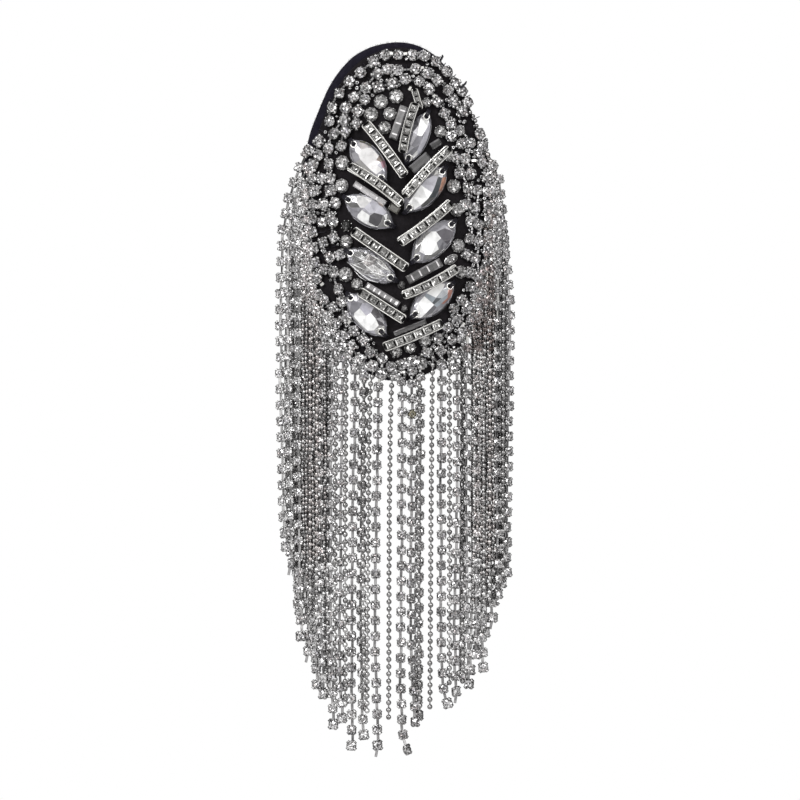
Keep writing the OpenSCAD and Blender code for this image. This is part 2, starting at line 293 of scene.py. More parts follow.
# ---------------------------------------------------------- piece building --
class Form:
    """Points, faces, face materials, tones and shading of one shape, in mm."""

    def __init__(self, v, faces, mat=0, tone=(1, 1, 1), smooth=False):
        self.v = np.asarray(v, float).reshape(-1, 3)
        self.loops = np.array([i for f in faces for i in f], int)
        self.sizes = np.array([len(f) for f in faces], int)
        k = len(self.sizes)
        self.mat = np.full(k, mat, int) if np.isscalar(mat) else np.asarray(mat, int)
        tone = np.asarray(tone, float)
        self.tone = np.tile(tone, (k, 1)) if tone.ndim == 1 else tone
        self.smooth = np.full(k, smooth, bool) if np.isscalar(smooth) else np.asarray(smooth, bool)

    @staticmethod
    def join(forms):
        out = Form.__new__(Form)
        base = np.cumsum([0] + [len(f.v) for f in forms])
        out.v = np.concatenate([f.v for f in forms])
        out.loops = np.concatenate([f.loops + base[i] for i, f in enumerate(forms)])
        for k in ("sizes", "mat", "tone", "smooth"):
            setattr(out, k, np.concatenate([getattr(f, k) for f in forms]))
        return out

    def moved(self, m):
        out = Form.__new__(Form)
        out.v = self.v @ m[:3, :3].T + m[:3, 3]
        out.loops, out.sizes, out.mat, out.tone, out.smooth = self.loops, self.sizes, self.mat, self.tone, self.smooth
        return out

    def with_tone(self, tone):
        out = Form.__new__(Form)
        out.v, out.loops, out.sizes, out.mat, out.smooth = self.v, self.loops, self.sizes, self.mat, self.smooth
        out.tone = tone
        return out

    def tris(self):
        return int((self.sizes - 2).sum())


def make_piece(name, form, mats, replaces=(), merge=False):
    me = bpy.data.meshes.new(name)
    me.vertices.add(len(form.v))
    me.vertices.foreach_set("co", (form.v * MM).astype(np.float32).ravel())
    me.loops.add(len(form.loops))
    me.loops.foreach_set("vertex_index", form.loops.astype(np.int32))
    me.polygons.add(len(form.sizes))
    starts = np.concatenate([[0], np.cumsum(form.sizes)[:-1]]).astype(np.int32)
    me.polygons.foreach_set("loop_start", starts)
    me.update(calc_edges=True)
    me.polygons.foreach_set("material_index", form.mat.astype(np.int32))
    me.polygons.foreach_set("use_smooth", form.smooth)
    a = me.attributes.new("tone", "FLOAT_COLOR", "CORNER")
    col = np.ones((len(form.loops), 4), np.float32)
    col[:, :3] = np.repeat(form.tone, form.sizes, axis=0)
    a.data.foreach_set("color", col.ravel())
    for m in mats:
        me.materials.append(m)
    me.validate()
    me.update()
    ob = bpy.data.objects.new(name, me)
    scene.collection.objects.link(ob)
    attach(ob, "root")
    if replaces:
        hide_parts(*replaces)
    return ob


def block(x0, x1, y0, y1, z0, z1, bevel=0.0, mat=0, tone=(1, 1, 1)):
    """A box whose upper edges are bevelled."""
    b = min(bevel, (x1 - x0) * 0.45, (y1 - y0) * 0.45, (z1 - z0) * 0.9)
    if b <= 0:
        v = [(x, y, z) for z in (z0, z1) for x, y in ((x0, y0), (x1, y0), (x1, y1), (x0, y1))]
        f = [(3, 2, 1, 0), (4, 5, 6, 7)] + [(i, (i + 1) % 4, 4 + (i + 1) % 4, 4 + i) for i in range(4)]
        return Form(v, f, mat, tone)
    v = [(x, y, z) for z in (z0, z1 - b) for x, y in ((x0, y0), (x1, y0), (x1, y1), (x0, y1))]
    v += [(x, y, z1) for x, y in ((x0 + b, y0 + b), (x1 - b, y0 + b), (x1 - b, y1 - b), (x0 + b, y1 - b))]
    f = [(3, 2, 1, 0), (8, 9, 10, 11)]
    for k in (0, 4):
        f += [(k + i, k + (i + 1) % 4, k + 4 + (i + 1) % 4, k + 4 + i) for i in range(4)]
    return Form(v, f, mat, tone)


def loft(rings, mat=0, tone=(1, 1, 1), smooth=False, cap=(True, True)):
    n = len(rings[0])
    v = [p for r in rings for p in r]
    f = []
    for j in range(len(rings) - 1):
        for i in range(n):
            a, b = j * n + i, j * n + (i + 1) % n
            f.append((a, b, b + n, a + n))
    if cap[0]:
        f.append(tuple(reversed(range(n))))
    if cap[1]:
        f.append(tuple(range((len(rings) - 1) * n, len(rings) * n)))
    sm = [smooth] * (len(f) - cap[0] - cap[1]) + [False] * (cap[0] + cap[1])
    return Form(v, f, mat, tone, np.array(sm, bool))


def tube(points, radius, sides=6, mat=0, smooth=True, closed=False):
    """A round tube through points; radius may be one number or one for each point."""
    p = np.asarray(points, float)
    n = len(p)
    rad = np.full(n, radius, float) if np.isscalar(radius) else np.asarray(radius, float)
    if closed:
        tan = np.roll(p, -1, 0) - np.roll(p, 1, 0)
    else:
        tan = np.gradient(p, axis=0)
    tan /= np.linalg.norm(tan, axis=1)[:, None] + 1e-12
    side = np.cross(tan[0], [0.31, 0.52, 0.79])
    side /= np.linalg.norm(side)
    rings = []
    for i in range(n):
        side = side - tan[i] * (side @ tan[i])
        side /= np.linalg.norm(side) + 1e-12
        other = np.cross(tan[i], side)
        a = np.arange(sides) * 2 * pi / sides
        rings.append(p[i] + rad[i] * (np.cos(a)[:, None] * side + np.sin(a)[:, None] * other))
    if not closed:
        return loft(rings, mat, smooth=smooth)
    v = np.concatenate(rings)
    f = []
    for j in range(n):
        j2 = (j + 1) % n
        for i in range(sides):
            i2 = (i + 1) % sides
            f.append((j * sides + i, j * sides + i2, j2 * sides + i2, j2 * sides + i))
    return Form(v, f, mat, smooth=smooth)


def ball(r, seg=12, rows=8, mat=0, stretch=1.0):
    v = [(0, -r * stretch, 0)]
    for j in range(1, rows):
        t = -pi / 2 + pi * j / rows
        for i in range(seg):
            a = 2 * pi * i / seg
            v.append((r * cos(t) * cos(a), r * sin(t) * stretch, r * cos(t) * sin(a)))
    v.append((0, r * stretch, 0))
    f = []
    top = len(v) - 1
    for i in range(seg):
        i2 = (i + 1) % seg
        f.append((0, 1 + i, 1 + i2))
        f.append((top, 1 + (rows - 2) * seg + i2, 1 + (rows - 2) * seg + i))
    for j in range(rows - 2):
        for i in range(seg):
            i2 = (i + 1) % seg
            a, b = 1 + j * seg, 1 + (j + 1) * seg
            f.append((a + i, b + i, b + i2, a + i2))
    return Form(v, f, mat, smooth=True)


def torus(big, small, seg=10, sides=6, mat=0):
    a = np.arange(seg) * 2 * pi / seg
    pts = np.stack([big * np.cos(a), big * np.sin(a), 0 * a], axis=1)
    return tube(pts, small, sides, mat, True, closed=True)


def circle(r, n, z, start=0.0, wobble=None):
    a = np.arange(n) * 2 * pi / n + start
    return [(r * cos(t), r * sin(t), z) for t in a]


# ------------------------------------------------------------- stone forms --
def brilliant(r, z0, h, rng, sides=8, table=0.55, star=0.78, dip=0.10, mat=1):
    """A round stone: girdle, crown in two tiers, and a table whose inner facets
    are tipped, the way the foiled underside shows through it."""
    v = circle(r, 2 * sides, z0)
    v += circle(r * star, sides, z0 + h * 0.58, pi / sides)
    v += circle(r * table, sides, z0 + h * 0.92)
    v += circle(r * table * 0.52, sides, z0 + h * (0.92 - dip), pi / sides)
    v.append((0.0, 0.0, z0 + h))
    G, S, T, I, C = 0, 2 * sides, 3 * sides, 4 * sides, 5 * sides
    f = []
    for k in range(sides):
        k2 = (k + 1) % sides
        g0, g1, g2 = G + 2 * k, G + 2 * k + 1, G + (2 * k + 2) % (2 * sides)
        f += [(g0, g1, S + k), (g1, g2, S + k)]
        f += [(S + k, G + (2 * k + 2) % (2 * sides), S + k2)]
        f += [(S + k, S + k2, T + k2)]
        f += [(T + k, S + k, T + k2)]
        f += [(T + k, T + k2, I + k), (I + k, T + k2, I + k2), (I + k, I + k2, C)]
    stone = Form(v, f, mat)
    return stone


def tilt_normals_random(form, rng, amount):
    form.v = form.v + rng.normal(0, amount, form.v.shape) * np.array([1, 1, 0.8])
    return form


def prong(angle, r_out, w, z0, z1, r_in, mat=0):
    """One claw, from the side of the cup up and over the stone's rim."""
    stations = [(r_out, z0, w, 0.16), (r_out, z1 - 0.06, w * 0.92, 0.22), (r_in, z1 - 0.02, w * 0.42, 0.12)]
    rings = []
    for k, (r, z, ww, t) in enumerate(stations):
        a = [0.0, 0.75, 1.4][k]
        nx, nz = cos(a), sin(a)
        o = (r, z)
        i = (r - t * nx, z - t * nz)
        rings.append([(o[0], -ww / 2, o[1]), (o[0], ww / 2, o[1]), (i[0], ww / 2, i[1]), (i[0], -ww / 2, i[1])])
    c, s = cos(angle), sin(angle)
    rings = [[(x * c - y * s, x * s + y * c, z) for x, y, z in r] for r in rings]
    return loft(rings, mat, smooth=True)


def cup_form(rng, square=0.0, wall_r=1.28, reach=1.44, claw=0.92):
    """A 2.7 mm rhinestone in its cup: x across, y along the chain, z outwards."""
    n = 16
    a = np.arange(n) * 2 * pi / n + pi / n
    lobe = 1.0 + (0.02 + 0.12 * square) * np.abs(np.sin(2 * a)) ** 2
    out = np.stack([wall_r * lobe * np.cos(a), wall_r * lobe * np.sin(a)], axis=1)
    rings = [[(x * 0.70, y * 0.70, -1.0) for x, y in out], [(x * 0.97, y * 0.97, -0.55) for x, y in out],
             [(x, y, 0.02) for x, y in out], [(x * 0.955, y * 0.955, 0.14) for x, y in out], [(x * 0.90, y * 0.90, -0.06) for x, y in out]]
    wall = loft(rings, 3, smooth=False)
    claws = [prong(pi / 4 + k * pi / 2 + rng.normal(0, 0.06), reach + 0.10 * square, claw, -0.55, 0.42, 0.94, 3) for k in range(4)]
    stone = tilt_normals_random(brilliant(wall_r - 0.07, 0.06, 0.60, rng, sides=9, table=0.55, star=0.80, dip=0.22), rng, 0.045)
    return Form.join([wall, stone] + claws)


def link_form(length, w=0.78, t=0.3, z=-0.66):
    return block(-w / 2, w / 2, -length / 2, length / 2, z - t / 2, z + t / 2, 0.09, 4)


CUP_SCALE = 1.13
RNG = np.random.default_rng(20)
CUPS = [cup_form(RNG) for _ in range(6)]
SQUARE_CUPS = [cup_form(RNG, 1.0) for _ in range(4)]
BORDER_CUPS = [cup_form(RNG, 0.0, 1.33, 1.38, 0.55) for _ in range(6)]


def lit_copy(f):
    """The same cup with its wall and claws in the lighter silver instead of the darker cup-wall silver: a lit copy,
    painted light for cups that catch more light.
    """
    g = f.with_tone(f.tone.copy())
    g.mat = np.where(g.mat == 3, 0, g.mat)
    return g


LIT_CUPS = [lit_copy(f) for f in CUPS]
BEAD = ball(0.78, 12, 8, 2, 1.06)
# a ball in the lighter silver: a lit copy, painted light
LIT_BEAD = ball(0.78, 12, 8, 0, 1.06)
BROWN_BEAD = ball(0.78, 12, 8, 8, 1.06)
DEEP_BEADS = [ball(0.78, 12, 8, 9), ball(0.53, 8, 6, 9)]
FINE_BEADS = [ball(0.53, 8, 6, 2), ball(0.53, 8, 6, 8), ball(0.53, 8, 6, 0)]
WIRE = tube([(0, -0.5, 0), (0, 0.5, 0)], 0.22, 6, 4)
SEED = torus(0.36, 0.26, 9, 6, 5)


def cut_tones(n, rng, tint=None, level=1.0):
    """Painted tones for a round cut, standing in for the light and dark it reflects, in the order brilliant() makes its
    facets: a dark ring at the girdle, middling slopes, and a table broken into dark and bright."""
    t = []
    for k in range(n):
        j = k % 8
        if j < 2:
            g = rng.choice([rng.uniform(0.12, 0.30), rng.uniform(0.55, 0.95)], p=[0.45, 0.55])
        elif j in (2, 3, 4):
            g = rng.choice([0.08, 0.34, 0.66, 1.0], p=[0.36, 0.26, 0.22, 0.16])
        elif j == 6:
            g = rng.choice([0.10, 0.34, 0.70], p=[0.36, 0.36, 0.28])
        else:
            g = rng.choice([rng.uniform(0.05, 0.15), rng.uniform(0.24, 0.42), rng.uniform(0.60, 0.90)], p=[0.42, 0.36, 0.22])
        t.append(g)
    g = np.array(t) * level
    out = np.stack([g, g * 0.985, g * 0.99], axis=1)
    hue = rng.random(n)
    out[hue > 0.92] *= np.array([1.0, 0.90, 0.88])
    out[hue < 0.10] *= np.array([0.94, 0.93, 1.0])
    if tint is not None:
        out *= np.asarray(tint)
    return np.clip(out, 0, 1)


def stone_tones(n, rng, dark=0.30, bright=0.16, tint=None):
    """Uneven facet tones painted in place of reflections: dark, middling and a few painted white glints."""
    pick = rng.random(n)
    g = np.where(pick < dark, rng.uniform(0.05, 0.18, n), rng.uniform(0.30, 0.66, n))
    g = np.where(pick > 1 - bright, rng.uniform(0.85, 1.0, n), g)
    hue = rng.random(n)
    t = np.stack([g, g * 0.985, g * 0.99], axis=1)
    warm = hue > 0.90
    t[warm] *= np.array([1.0, 0.88, 0.86])
    cool = hue < 0.12
    t[cool] *= np.array([0.93, 0.92, 1.0])
    if tint is not None:
        t *= np.asarray(tint)
    return np.clip(t, 0, 1)


def cup_at(m, rng, tint=None, level=1.0, square=False, family=None):
    family = SQUARE_CUPS if square else family or CUPS
    f = family[int(rng.integers(len(family)))]
    tone = f.tone.copy()
    stone = f.mat == 1
    tone[stone] = cut_tones(int(stone.sum()), rng, tint, level)
    m = m.copy()
    m[:3, :3] *= CUP_SCALE
    return f.with_tone(tone).moved(m)


# ================================================================= WORLD ====
world = bpy.data.worlds.new("studio")
scene.world = world
world.use_nodes = True
wt = world.node_tree
wt.nodes.clear()
w_out = node(wt, "ShaderNodeOutputWorld", 900, 0)
w_mix = node(wt, "ShaderNodeMixShader", 700, 0)
w_path = node(wt, "ShaderNodeLightPath", 400, 300)
w_cam = node(wt, "ShaderNodeBackground", 400, 0)
w_cam.inputs["Color"].default_value = (1, 1, 1, 1)
w_env = node(wt, "ShaderNodeBackground", 400, -200)
link(wt, w_path.outputs["Is Camera Ray"], w_mix.inputs[0])
link(wt, w_env.outputs[0], w_mix.inputs[1])
link(wt, w_cam.outputs[0], w_mix.inputs[2])
link(wt, w_mix.outputs[0], w_out.inputs["Surface"])
w_co = node(wt, "ShaderNodeTexCoord", -1700, 0)
w_norm = node(wt, "ShaderNodeVectorMath", -1500, 0, operation="NORMALIZE")
link(wt, w_co.outputs["Generated"], w_norm.inputs[0])


def softbox(direction, half, soft, strength, previous, y):
    """Adds a round soft light in one direction to the studio's brightness."""
    d = np.array(direction, float)
    d /= np.linalg.norm(d)
    dot = node(wt, "ShaderNodeVectorMath", -1250, y, operation="DOT_PRODUCT")
    dot.inputs[1].default_value = tuple(d)
    link(wt, w_norm.outputs["Vector"], dot.inputs[0])
    mr = node(wt, "ShaderNodeMapRange", -1050, y, interpolation_type="SMOOTHSTEP")
    mr.inputs["From Min"].default_value = cos(radians(half + soft))
    mr.inputs["From Max"].default_value = cos(radians(half))
    mr.inputs["To Min"].default_value = 0.0
    mr.inputs["To Max"].default_value = strength
    link(wt, dot.outputs["Value"], mr.inputs["Value"])
    add = node(wt, "ShaderNodeMath", -800, y, operation="ADD")
    link(wt, mr.outputs["Result"], add.inputs[0])
    if previous is None:
        add.inputs[1].default_value = 0.0
    else:
        link(wt, previous, add.inputs[1])
    return add.outputs[0]


# a big soft light in front, falling away to a dark room at the sides, with smaller lights between
front = node(wt, "ShaderNodeVectorMath", -1250, 500, operation="DOT_PRODUCT")
front.inputs[1].default_value = (0.0, -1.0, 0.0)
link(wt, w_norm.outputs["Vector"], front.inputs[0])
room = ramp(wt, [(0.0, grey(0.09)), (0.30, grey(0.14)), (0.58, grey(0.32)), (0.82, grey(0.50)), (0.95, grey(0.62)), (0.978, grey(1.20)), (1.0, grey(1.35))],
            -1050, 500)
link(wt, front.outputs["Value"], room.inputs["Fac"])
level = room.outputs["Color"]
level = softbox((-0.55, -0.72, 0.62), 15, 6, 2.8, level, 250)
level = softbox((0.62, -0.75, 0.35), 12, 5, 2.2, level, 50)
level = softbox((0.05, -0.80, -0.62), 12, 7, 1.2, level, -150)
level = softbox((-0.80, -0.55, -0.25), 9, 4, 1.5, level, -350)
level = softbox((0.0, -0.2, 0.98), 22, 10, 0.9, level, -550)
cells = node(wt, "ShaderNodeTexVoronoi", -1250, -800)
cells.inputs["Scale"].default_value = 5.0
link(wt, w_norm.outputs["Vector"], cells.inputs["Vector"])
sep_c = node(wt, "ShaderNodeSeparateColor", -1050, -800)
link(wt, cells.outputs["Color"], sep_c.inputs[0])
cell_range = node(wt, "ShaderNodeMapRange", -850, -800)
cell_range.inputs["To Min"].default_value = 0.50
cell_range.inputs["To Max"].default_value = 1.45
link(wt, sep_c.outputs[0], cell_range.inputs["Value"])
w_mul = node(wt, "ShaderNodeMath", -550, 0, operation="MULTIPLY")
link(wt, level, w_mul.inputs[0])
link(wt, cell_range.outputs["Result"], w_mul.inputs[1])
link(wt, w_mul.outputs[0], w_env.inputs["Strength"])
w_env.inputs["Color"].default_value = (1.0, 0.995, 0.99, 1)


def area_light(name, location, target, size, power, colour=(1, 1, 1)):
    li = bpy.data.lights.new(name, "AREA")
    li.shape = "DISK"
    li.size = size
    li.energy = power
    li.color = colour
    ob = bpy.data.objects.new(name, li)
    scene.collection.objects.link(ob)
    ob.location = location
    d = np.array(target) - np.array(location)
    d = d / np.linalg.norm(d)
    from mathutils import Vector
    ob.rotation_euler = Vector(d).to_track_quat("-Z", "Y").to_euler()
    return ob


area_light("key", (-0.55, -0.85, 0.55), (0, 0, -0.05), 0.50, 4.5)
area_light("fill", (0.65, -0.80, 0.20), (0, 0, -0.10), 0.45, 1.6)
area_light("behind", (-0.35, 0.90, 0.45), (0, 0, -0.06), 0.60, 3.0)

# floor, below the hanging fringe
fm = bpy.data.meshes.new("floor")
fb = bmesh.new()
bmesh.ops.create_grid(fb, x_segments=20, y_segments=20, size=0.35)
fb.to_mesh(fm)
fb.free()
fm.materials.append(FLOOR_MAT)
floor_ob = bpy.data.objects.new("floor", fm)
scene.collection.objects.link(floor_ob)
floor_ob.location = (0.0, 0.0, -0.262)

# ================================================================= FELT =====
def rim_shift(u, v, uc):
    """How far the real rim lies from the oval, in chart squares: fuller at the upper left, slimmer at the upper right."""
    if u < uc:
        return float(np.interp(v, [42, 46, 52, 60, 72, 84, 96, 110], [0, -3.5, -4.6, -4.4, -3.4, -2.4, -0.8, 0]))
    return float(np.interp(v, [44, 61, 83, 104, 120, 135, 150, 170, 190, 213], [0, -3, -5.5, -7, -8.5, -8.5, -7.5, -5.5, -3, 0]))


def felt_board(name, uc, vc, a, b, r1, r2, rng, wave, n=260):
    """A felt oval on the arch, its rim rounded and slightly uneven."""
    ang = np.arange(n) * 2 * pi / n
    rim = rng.normal(0, 1, n)
    for _ in range(3):
        rim = (rim + np.roll(rim, 1) + np.roll(rim, -1)) / 3
    rim *= 0.10 / max(np.abs(rim).max(), 1e-9)
    inner = [0.02, 0.08, 0.16, 0.24, 0.32, 0.40, 0.48, 0.56, 0.64, 0.72, 0.80, 0.87, 0.93, 0.965]
    prof = [(s, r2, 1.0) for s in inner]
    prof += [(0.985, r2 - 0.04, 1.0), (0.994, r2 - 0.20, 0.5), (0.999, r2 - (r2 - r1) * 0.36, 0.0), (0.999, r1 + (r2 - r1) * 0.36, 0.0),
             (0.994, r1 + 0.20, 0.0), (0.985, r1 + 0.04, 0.0)]
    prof += [(s, r1, 0.0) for s in reversed(inner)]
    rings = []
    ph = rng.random(6) * 6.28
    for s, r, front in prof:
        grow = np.clip((s - 0.93) / 0.07, 0, 1)
        x = gx(uc) + (a * s * PX + rim * grow) * np.cos(ang)
        z = gz(vc) + (b * s * PX + rim * grow) * np.sin(ang)
        x = x + np.array([rim_shift(xx / PX + 402.0, 130.0 - zz / PX, uc) for xx, zz in zip(x, z)]) * PX * s ** 3
        ripple = wave * (np.sin(x * 0.9 + ph[0]) * np.sin(z * 0.7 + ph[1]) + 0.6 * np.sin(x * 2.3 + z * 1.7 + ph[2])
                         + 0.4 * np.sin(z * 3.1 - x * 1.2 + ph[3]))
        rr = r - np.abs(ripple) * front
        y = ARCH_Y - np.sqrt(rr ** 2 - x ** 2)
        rings.append(np.stack([x, y, z], axis=1))
    return loft(rings, 0, smooth=True)


rng = np.random.default_rng(3)
make_piece("backing_felt", felt_board("backing_felt", 398, 211.3, 100, 170, R_BACK_IN, R_BACK, rng, 0.05), [FELT_RIM], ["backing_board"])
make_piece("face_felt", felt_board("face_felt", 402.5, 213.5, 97.5, 166, R_PANEL, R_FACE, rng, 0.05), [FELT], ["face_panel"])


def fibres(rng):
    """Loose felt fibres: short curved hairs along both rims and on the open felt."""
    parts = []

    def hair(p, out, length, r):
        side = np.cross(out, rng.normal(0, 1, 3))
        side /= np.linalg.norm(side)
        bend = rng.uniform(-0.5, 0.5)
        pts = [p - out * 0.08, p + out * length * 0.45 + side * length * bend * 0.3, p + out * length * 0.75 + side * length * bend]
        parts.append(tube(pts, [r, r * 0.8, r * 0.4], 3, smooth=True))

    for uc, vc, a, b, r in ((398, 211.3, 100, 170, R_BACK - 0.9), (402.5, 213.5, 97.5, 166, R_FACE - 0.6)):
        for _ in range(900):
            t = rng.random() * 2 * pi
            x = gx(uc) + a * PX * cos(t) * 0.999
            z = gz(vc) + b * PX * sin(t) * 0.999
            x += rim_shift(x / PX + 402.0, 130.0 - z / PX, uc) * PX
            rr = r + rng.uniform(-0.7, 0.7)
            p = np.array([x, ARCH_Y - sqrt(rr * rr - x * x), z])
            out = np.array([cos(t) / a, rng.normal(0, 0.25) / 100, sin(t) / b])
            out /= np.linalg.norm(out)
            out += rng.normal(0, 0.35, 3)
            out /= np.linalg.norm(out)
            hair(p, out, rng.uniform(0.25, 0.75), 0.022)
    for _ in range(1600):
        t, s = rng.random() * 2 * pi, sqrt(rng.random()) * 0.95
        x = gx(402.5) + 97.5 * PX * s * cos(t)
        z = gz(213.5) + 166 * PX * s * sin(t)
        x += rim_shift(x / PX + 402.0, 130.0 - z / PX, 402.5) * PX * s ** 3
        p = np.array([x, face_y(x), z])
        n = np.array([x, p[1] - ARCH_Y, 0.0])
        n /= np.linalg.norm(n)
        out = n * 0.35 + rng.normal(0, 0.6, 3)
        out /= np.linalg.norm(out)
        if out @ n < 0.1:
            out += n * 0.5
            out /= np.linalg.norm(out)
        hair(p, out, rng.uniform(0.2, 0.5), 0.02)
    return Form.join(parts)


make_piece("felt_fibres", fibres(np.random.default_rng(5)), [FELT_FUZZ])

# ======================================================== BORDER CHAINS =====
# the cups of each sewn row on the chart, u and v, in the order of the chain
OUTER = [
    (398, 55), (385.4, 55.2), (373.2, 61.4), (360, 72.5), (348.6, 81.3), (338.3, 92.8), (330.8, 107.5), (328.3, 120.8), (318.0, 140.3),
    (316.8, 155), (311, 164.5), (309.4, 177), (312.5, 190), (311.8, 204), (310.8, 218), (311, 232), (312, 247), (313.5, 262), (315.5, 278),
    (317, 294), (322.4, 299.5), (331.4, 307.5), (334.3, 323.8), (342.9, 335.3), (350.8, 345.5), (359.4, 358.9), (371.9, 365.9), (381.1, 374.2),
    (396, 374.5), (412.2, 370.9), (422.3, 363.7), (441.3, 350.5), (452.7, 339.6), (463.5, 331.5), (472, 320), (478, 307), (482, 293), (485, 279),
    (487.5, 264), (489, 250), (490, 235), (490, 220), (490, 206), (488.5, 191), (489, 177), (483.5, 162), (483.7, 146), (481.2, 133.3),
    (468.4, 102.2), (462.9, 90.8), (455.8, 82.9), (447.7, 71.4), (436.8, 61.6), (424.8, 55.9), (413, 55.3),
]
MIDDLE = [
    (397.8, 70.3), (386.9, 69.4), (376.9, 73.7), (365.4, 87.5), (352.9, 96.8), (344.9, 107.5), (343.2, 120), (332.5, 133.2), (327.2, 148.3),
    (327.2, 163.4), (329, 178), (329, 190), (322.2, 203.8), (320.7, 221.8), (321.8, 242), (328.3, 257), (333, 271.9), (337.5, 289), (341.3, 301.2),
    (344.5, 317.4), (353, 330.8), (362.6, 339.4), (369.7, 352.2), (381.8, 358.3), (391.3, 367.2), (403, 364), (413, 361), (426.9, 352.2),
    (438, 338.5), (448.7, 327.6), (458.7, 319.5), (469.5, 307), (476.7, 294), (479, 275.7), (476.3, 258.1), (479.4, 240.5), (480.2, 224.4),
    (476, 206.8), (478.6, 189.6), (471.6, 172.8), (466, 158.4), (471.2, 142.6), (460.7, 130), (463.2, 111), (455.2, 101.3), (448.9, 90.4),
    (438, 80.6), (428.5, 73), (415.6, 69.1),
]
INNER = [
    (340.5, 145.7), (344, 131.5), (355.6, 123.5), (357.4, 111), (364.5, 99.5), (377.8, 87.1), (391.7, 83.8), (405.3, 79.4), (419.6, 81.7),
    (429.4, 89.2), (437.4, 101.3), (445.3, 113.2), (451.6, 123.7), (452, 136), (457.2, 158), (460.4, 172.8), (469.1, 187.5), (466.8, 204.5),
    (472.1, 221.4), (470.6, 238.6),
]
INNER_LEFT = [(334.5, 202.9), (332.2, 221.4), (332.5, 237), (339, 254.3)]
EXTRA = [(307.2, 149.6), (480.0, 152.6), (494.0, 167.0), (321.7, 204.5), (333.9, 202.7), (329.0, 216.4), (319.2, 177.7), (321.8, 268.8), (325.0, 316.0), (467.9, 254.3), (471.4, 272.2), (471.4, 286.4), (463, 300.2), (454.7, 308.6), (462.8, 143.5),
         (337.4, 336.5), (341.0, 346.6), (347.0, 354.6), (354.4, 362.4), (362.6, 368.0), (442.0, 364.5), (456.0, 353.5), (456.0, 368.5)]
# cups that look square, and cups that are tipped on one side: u, v, turn
TIPPED = {(339, 254.3): 0.1, (332.5, 237): 0.35, (338.3, 92.8): 0.6, (426.9, 352.2): 0.55, (444, 131.5): 0.3, (445.3, 113.2): 0.5, (455.8, 82.9): 0.4}
# loose flat links that lie face up and shine, drawn in the brightest rail silver as a painted highlight: u, v, length,
# turn from upright
FLAT_LINKS = [
    (472.6, 160.2, 1.6, 1.5), (402.5, 372.3, 1.7, 1.4), (461.6, 325.8, 2.1, 0.5), (320, 276.5, 1.6, 0.1), (319.5, 293, 1.6, 0.1),
    (323.4, 284, 1.3, 0.9), (436.8, 83.5, 1.6, 0.7), (352, 144, 1.2, 0.1), (391.5, 53.8, 1.2, 1.5), (405.2, 54, 1.4, 1.5), (350.2, 322, 1.3, 0.8),
    (409.8, 88.8, 1.3, 0.5), (433.5, 96, 1.1, 0.8), (421.8, 68.0, 1.2, 1.4),
]


def border(cups, loop, rng, extra=(), loose=()):
    parts = []
    n = len(cups)

    def put(u, v, ang, key):
        square = key in TIPPED or rng.random() < 0.35
        turn = TIPPED.get(key, rng.normal(0, 0.22))
        # the chart shows the top of the cup, which leans outwards on the arch
        u = 402.0 + (u - 402.0) * R_FACE / (R_FACE + 2.2)
        m = on_face(u, v, 0.12 + 1.12 + rng.uniform(-0.08, 0.12), ang - pi / 2 + turn, rng.uniform(1.09, 1.24),
                    (rng.normal(0, 0.16), rng.normal(0, 0.16)))
        # painted light and shade: the stones of cups at the lower right are painted darker, and of those in the upper
        # part lighter, for how the light falls on them
        level = rng.uniform(0.85, 1.15) * (0.80 if u > 440 and v > 230 else 1.14 if v < 200 else 1.0)
        parts.append(cup_at(m, rng, level=level, square=square, family=BORDER_CUPS))

    for k, (u, v) in enumerate(cups):
        a, b = cups[(k - 1) % n if loop else max(k - 1, 0)], cups[(k + 1) % n if loop else min(k + 1, n - 1)]
        put(u, v, atan2(a[1] - b[1], b[0] - a[0]), (u, v))
    for u, v in extra:
        put(u, v, rng.uniform(1.2, 1.9), (u, v))
    for u, v in loose:
        m = on_face(u, v, 0.12 + 0.70, rng.random() * 6.28, rng.uniform(0.95, 1.2), (rng.normal(0, 0.5), rng.normal(0, 0.5)))
        parts.append(SEED.moved(m))
    for k in range(n if loop else n - 1):
        (ua, va), (ub, vb) = cups[k], cups[(k + 1) % n]
        gap = hypot(ub - ua, vb - va)
        ang = atan2(va - vb, ub - ua)
        u, v = (ua + ub) / 2, (va + vb) / 2
        for side in (-1, 1):
            if rng.random() > (0.85 if u > 444 and 90 < v < 330 else 0.30):
                continue
            off = 2.7 + rng.normal(0, 0.3)
            du, dv = -sin(ang) * off * side, -cos(ang) * off * side
            m = on_face(u + du + rng.normal(0, 0.4), v + dv + rng.normal(0, 0.4), 0.12 + 0.70, rng.random() * 6.28, rng.uniform(0.92, 1.12),
                        (rng.normal(0, 0.45), rng.normal(0, 0.45)))
            parts.append(SEED.moved(m))
        if gap < 18:
            # the link that joins two cups, low on the felt
            mm = on_face(u, v, 0.12 + 0.45, ang - pi / 2, 1.0)
            parts.append(link_form(max(gap * PX - 2.9, 0.9), 0.62, 0.25, 0.0).moved(mm))
        # the thread that holds the pair
        pts = []
        for q in np.linspace(-1, 1, 5):
            mm = on_face(u - sin(ang) * 5.0 * q, v - cos(ang) * 5.0 * q, 0.10 + 0.66 * (1 - abs(q)) + 0.05)
            pts.append(mm[:3, 3])
        parts.append(tube(pts, 0.13, 5, 6))
    return Form.join(parts)


def loose_beads(rng, tries=420):
    """Beads in the open places between the rows."""
    taken = OUTER + MIDDLE + INNER + INNER_LEFT + EXTRA
    out = []
    for _ in range(tries):
        t, q = rng.random() * 2 * pi, rng.uniform(0.0, 1.0)
        u, v = 402.0 + (72 + 19 * q) * cos(t), 214.0 - (138 + 21 * q) * sin(t)
        if rng.random() > (1.0 if u > 444 and v < 330 else 0.42):
            continue
        if min(hypot(u - a, v - b) for a, b in taken) > 6.6 and all(hypot(u - a, v - b) > 4.2 for a, b in out):
            out.append((u, v))
    return out


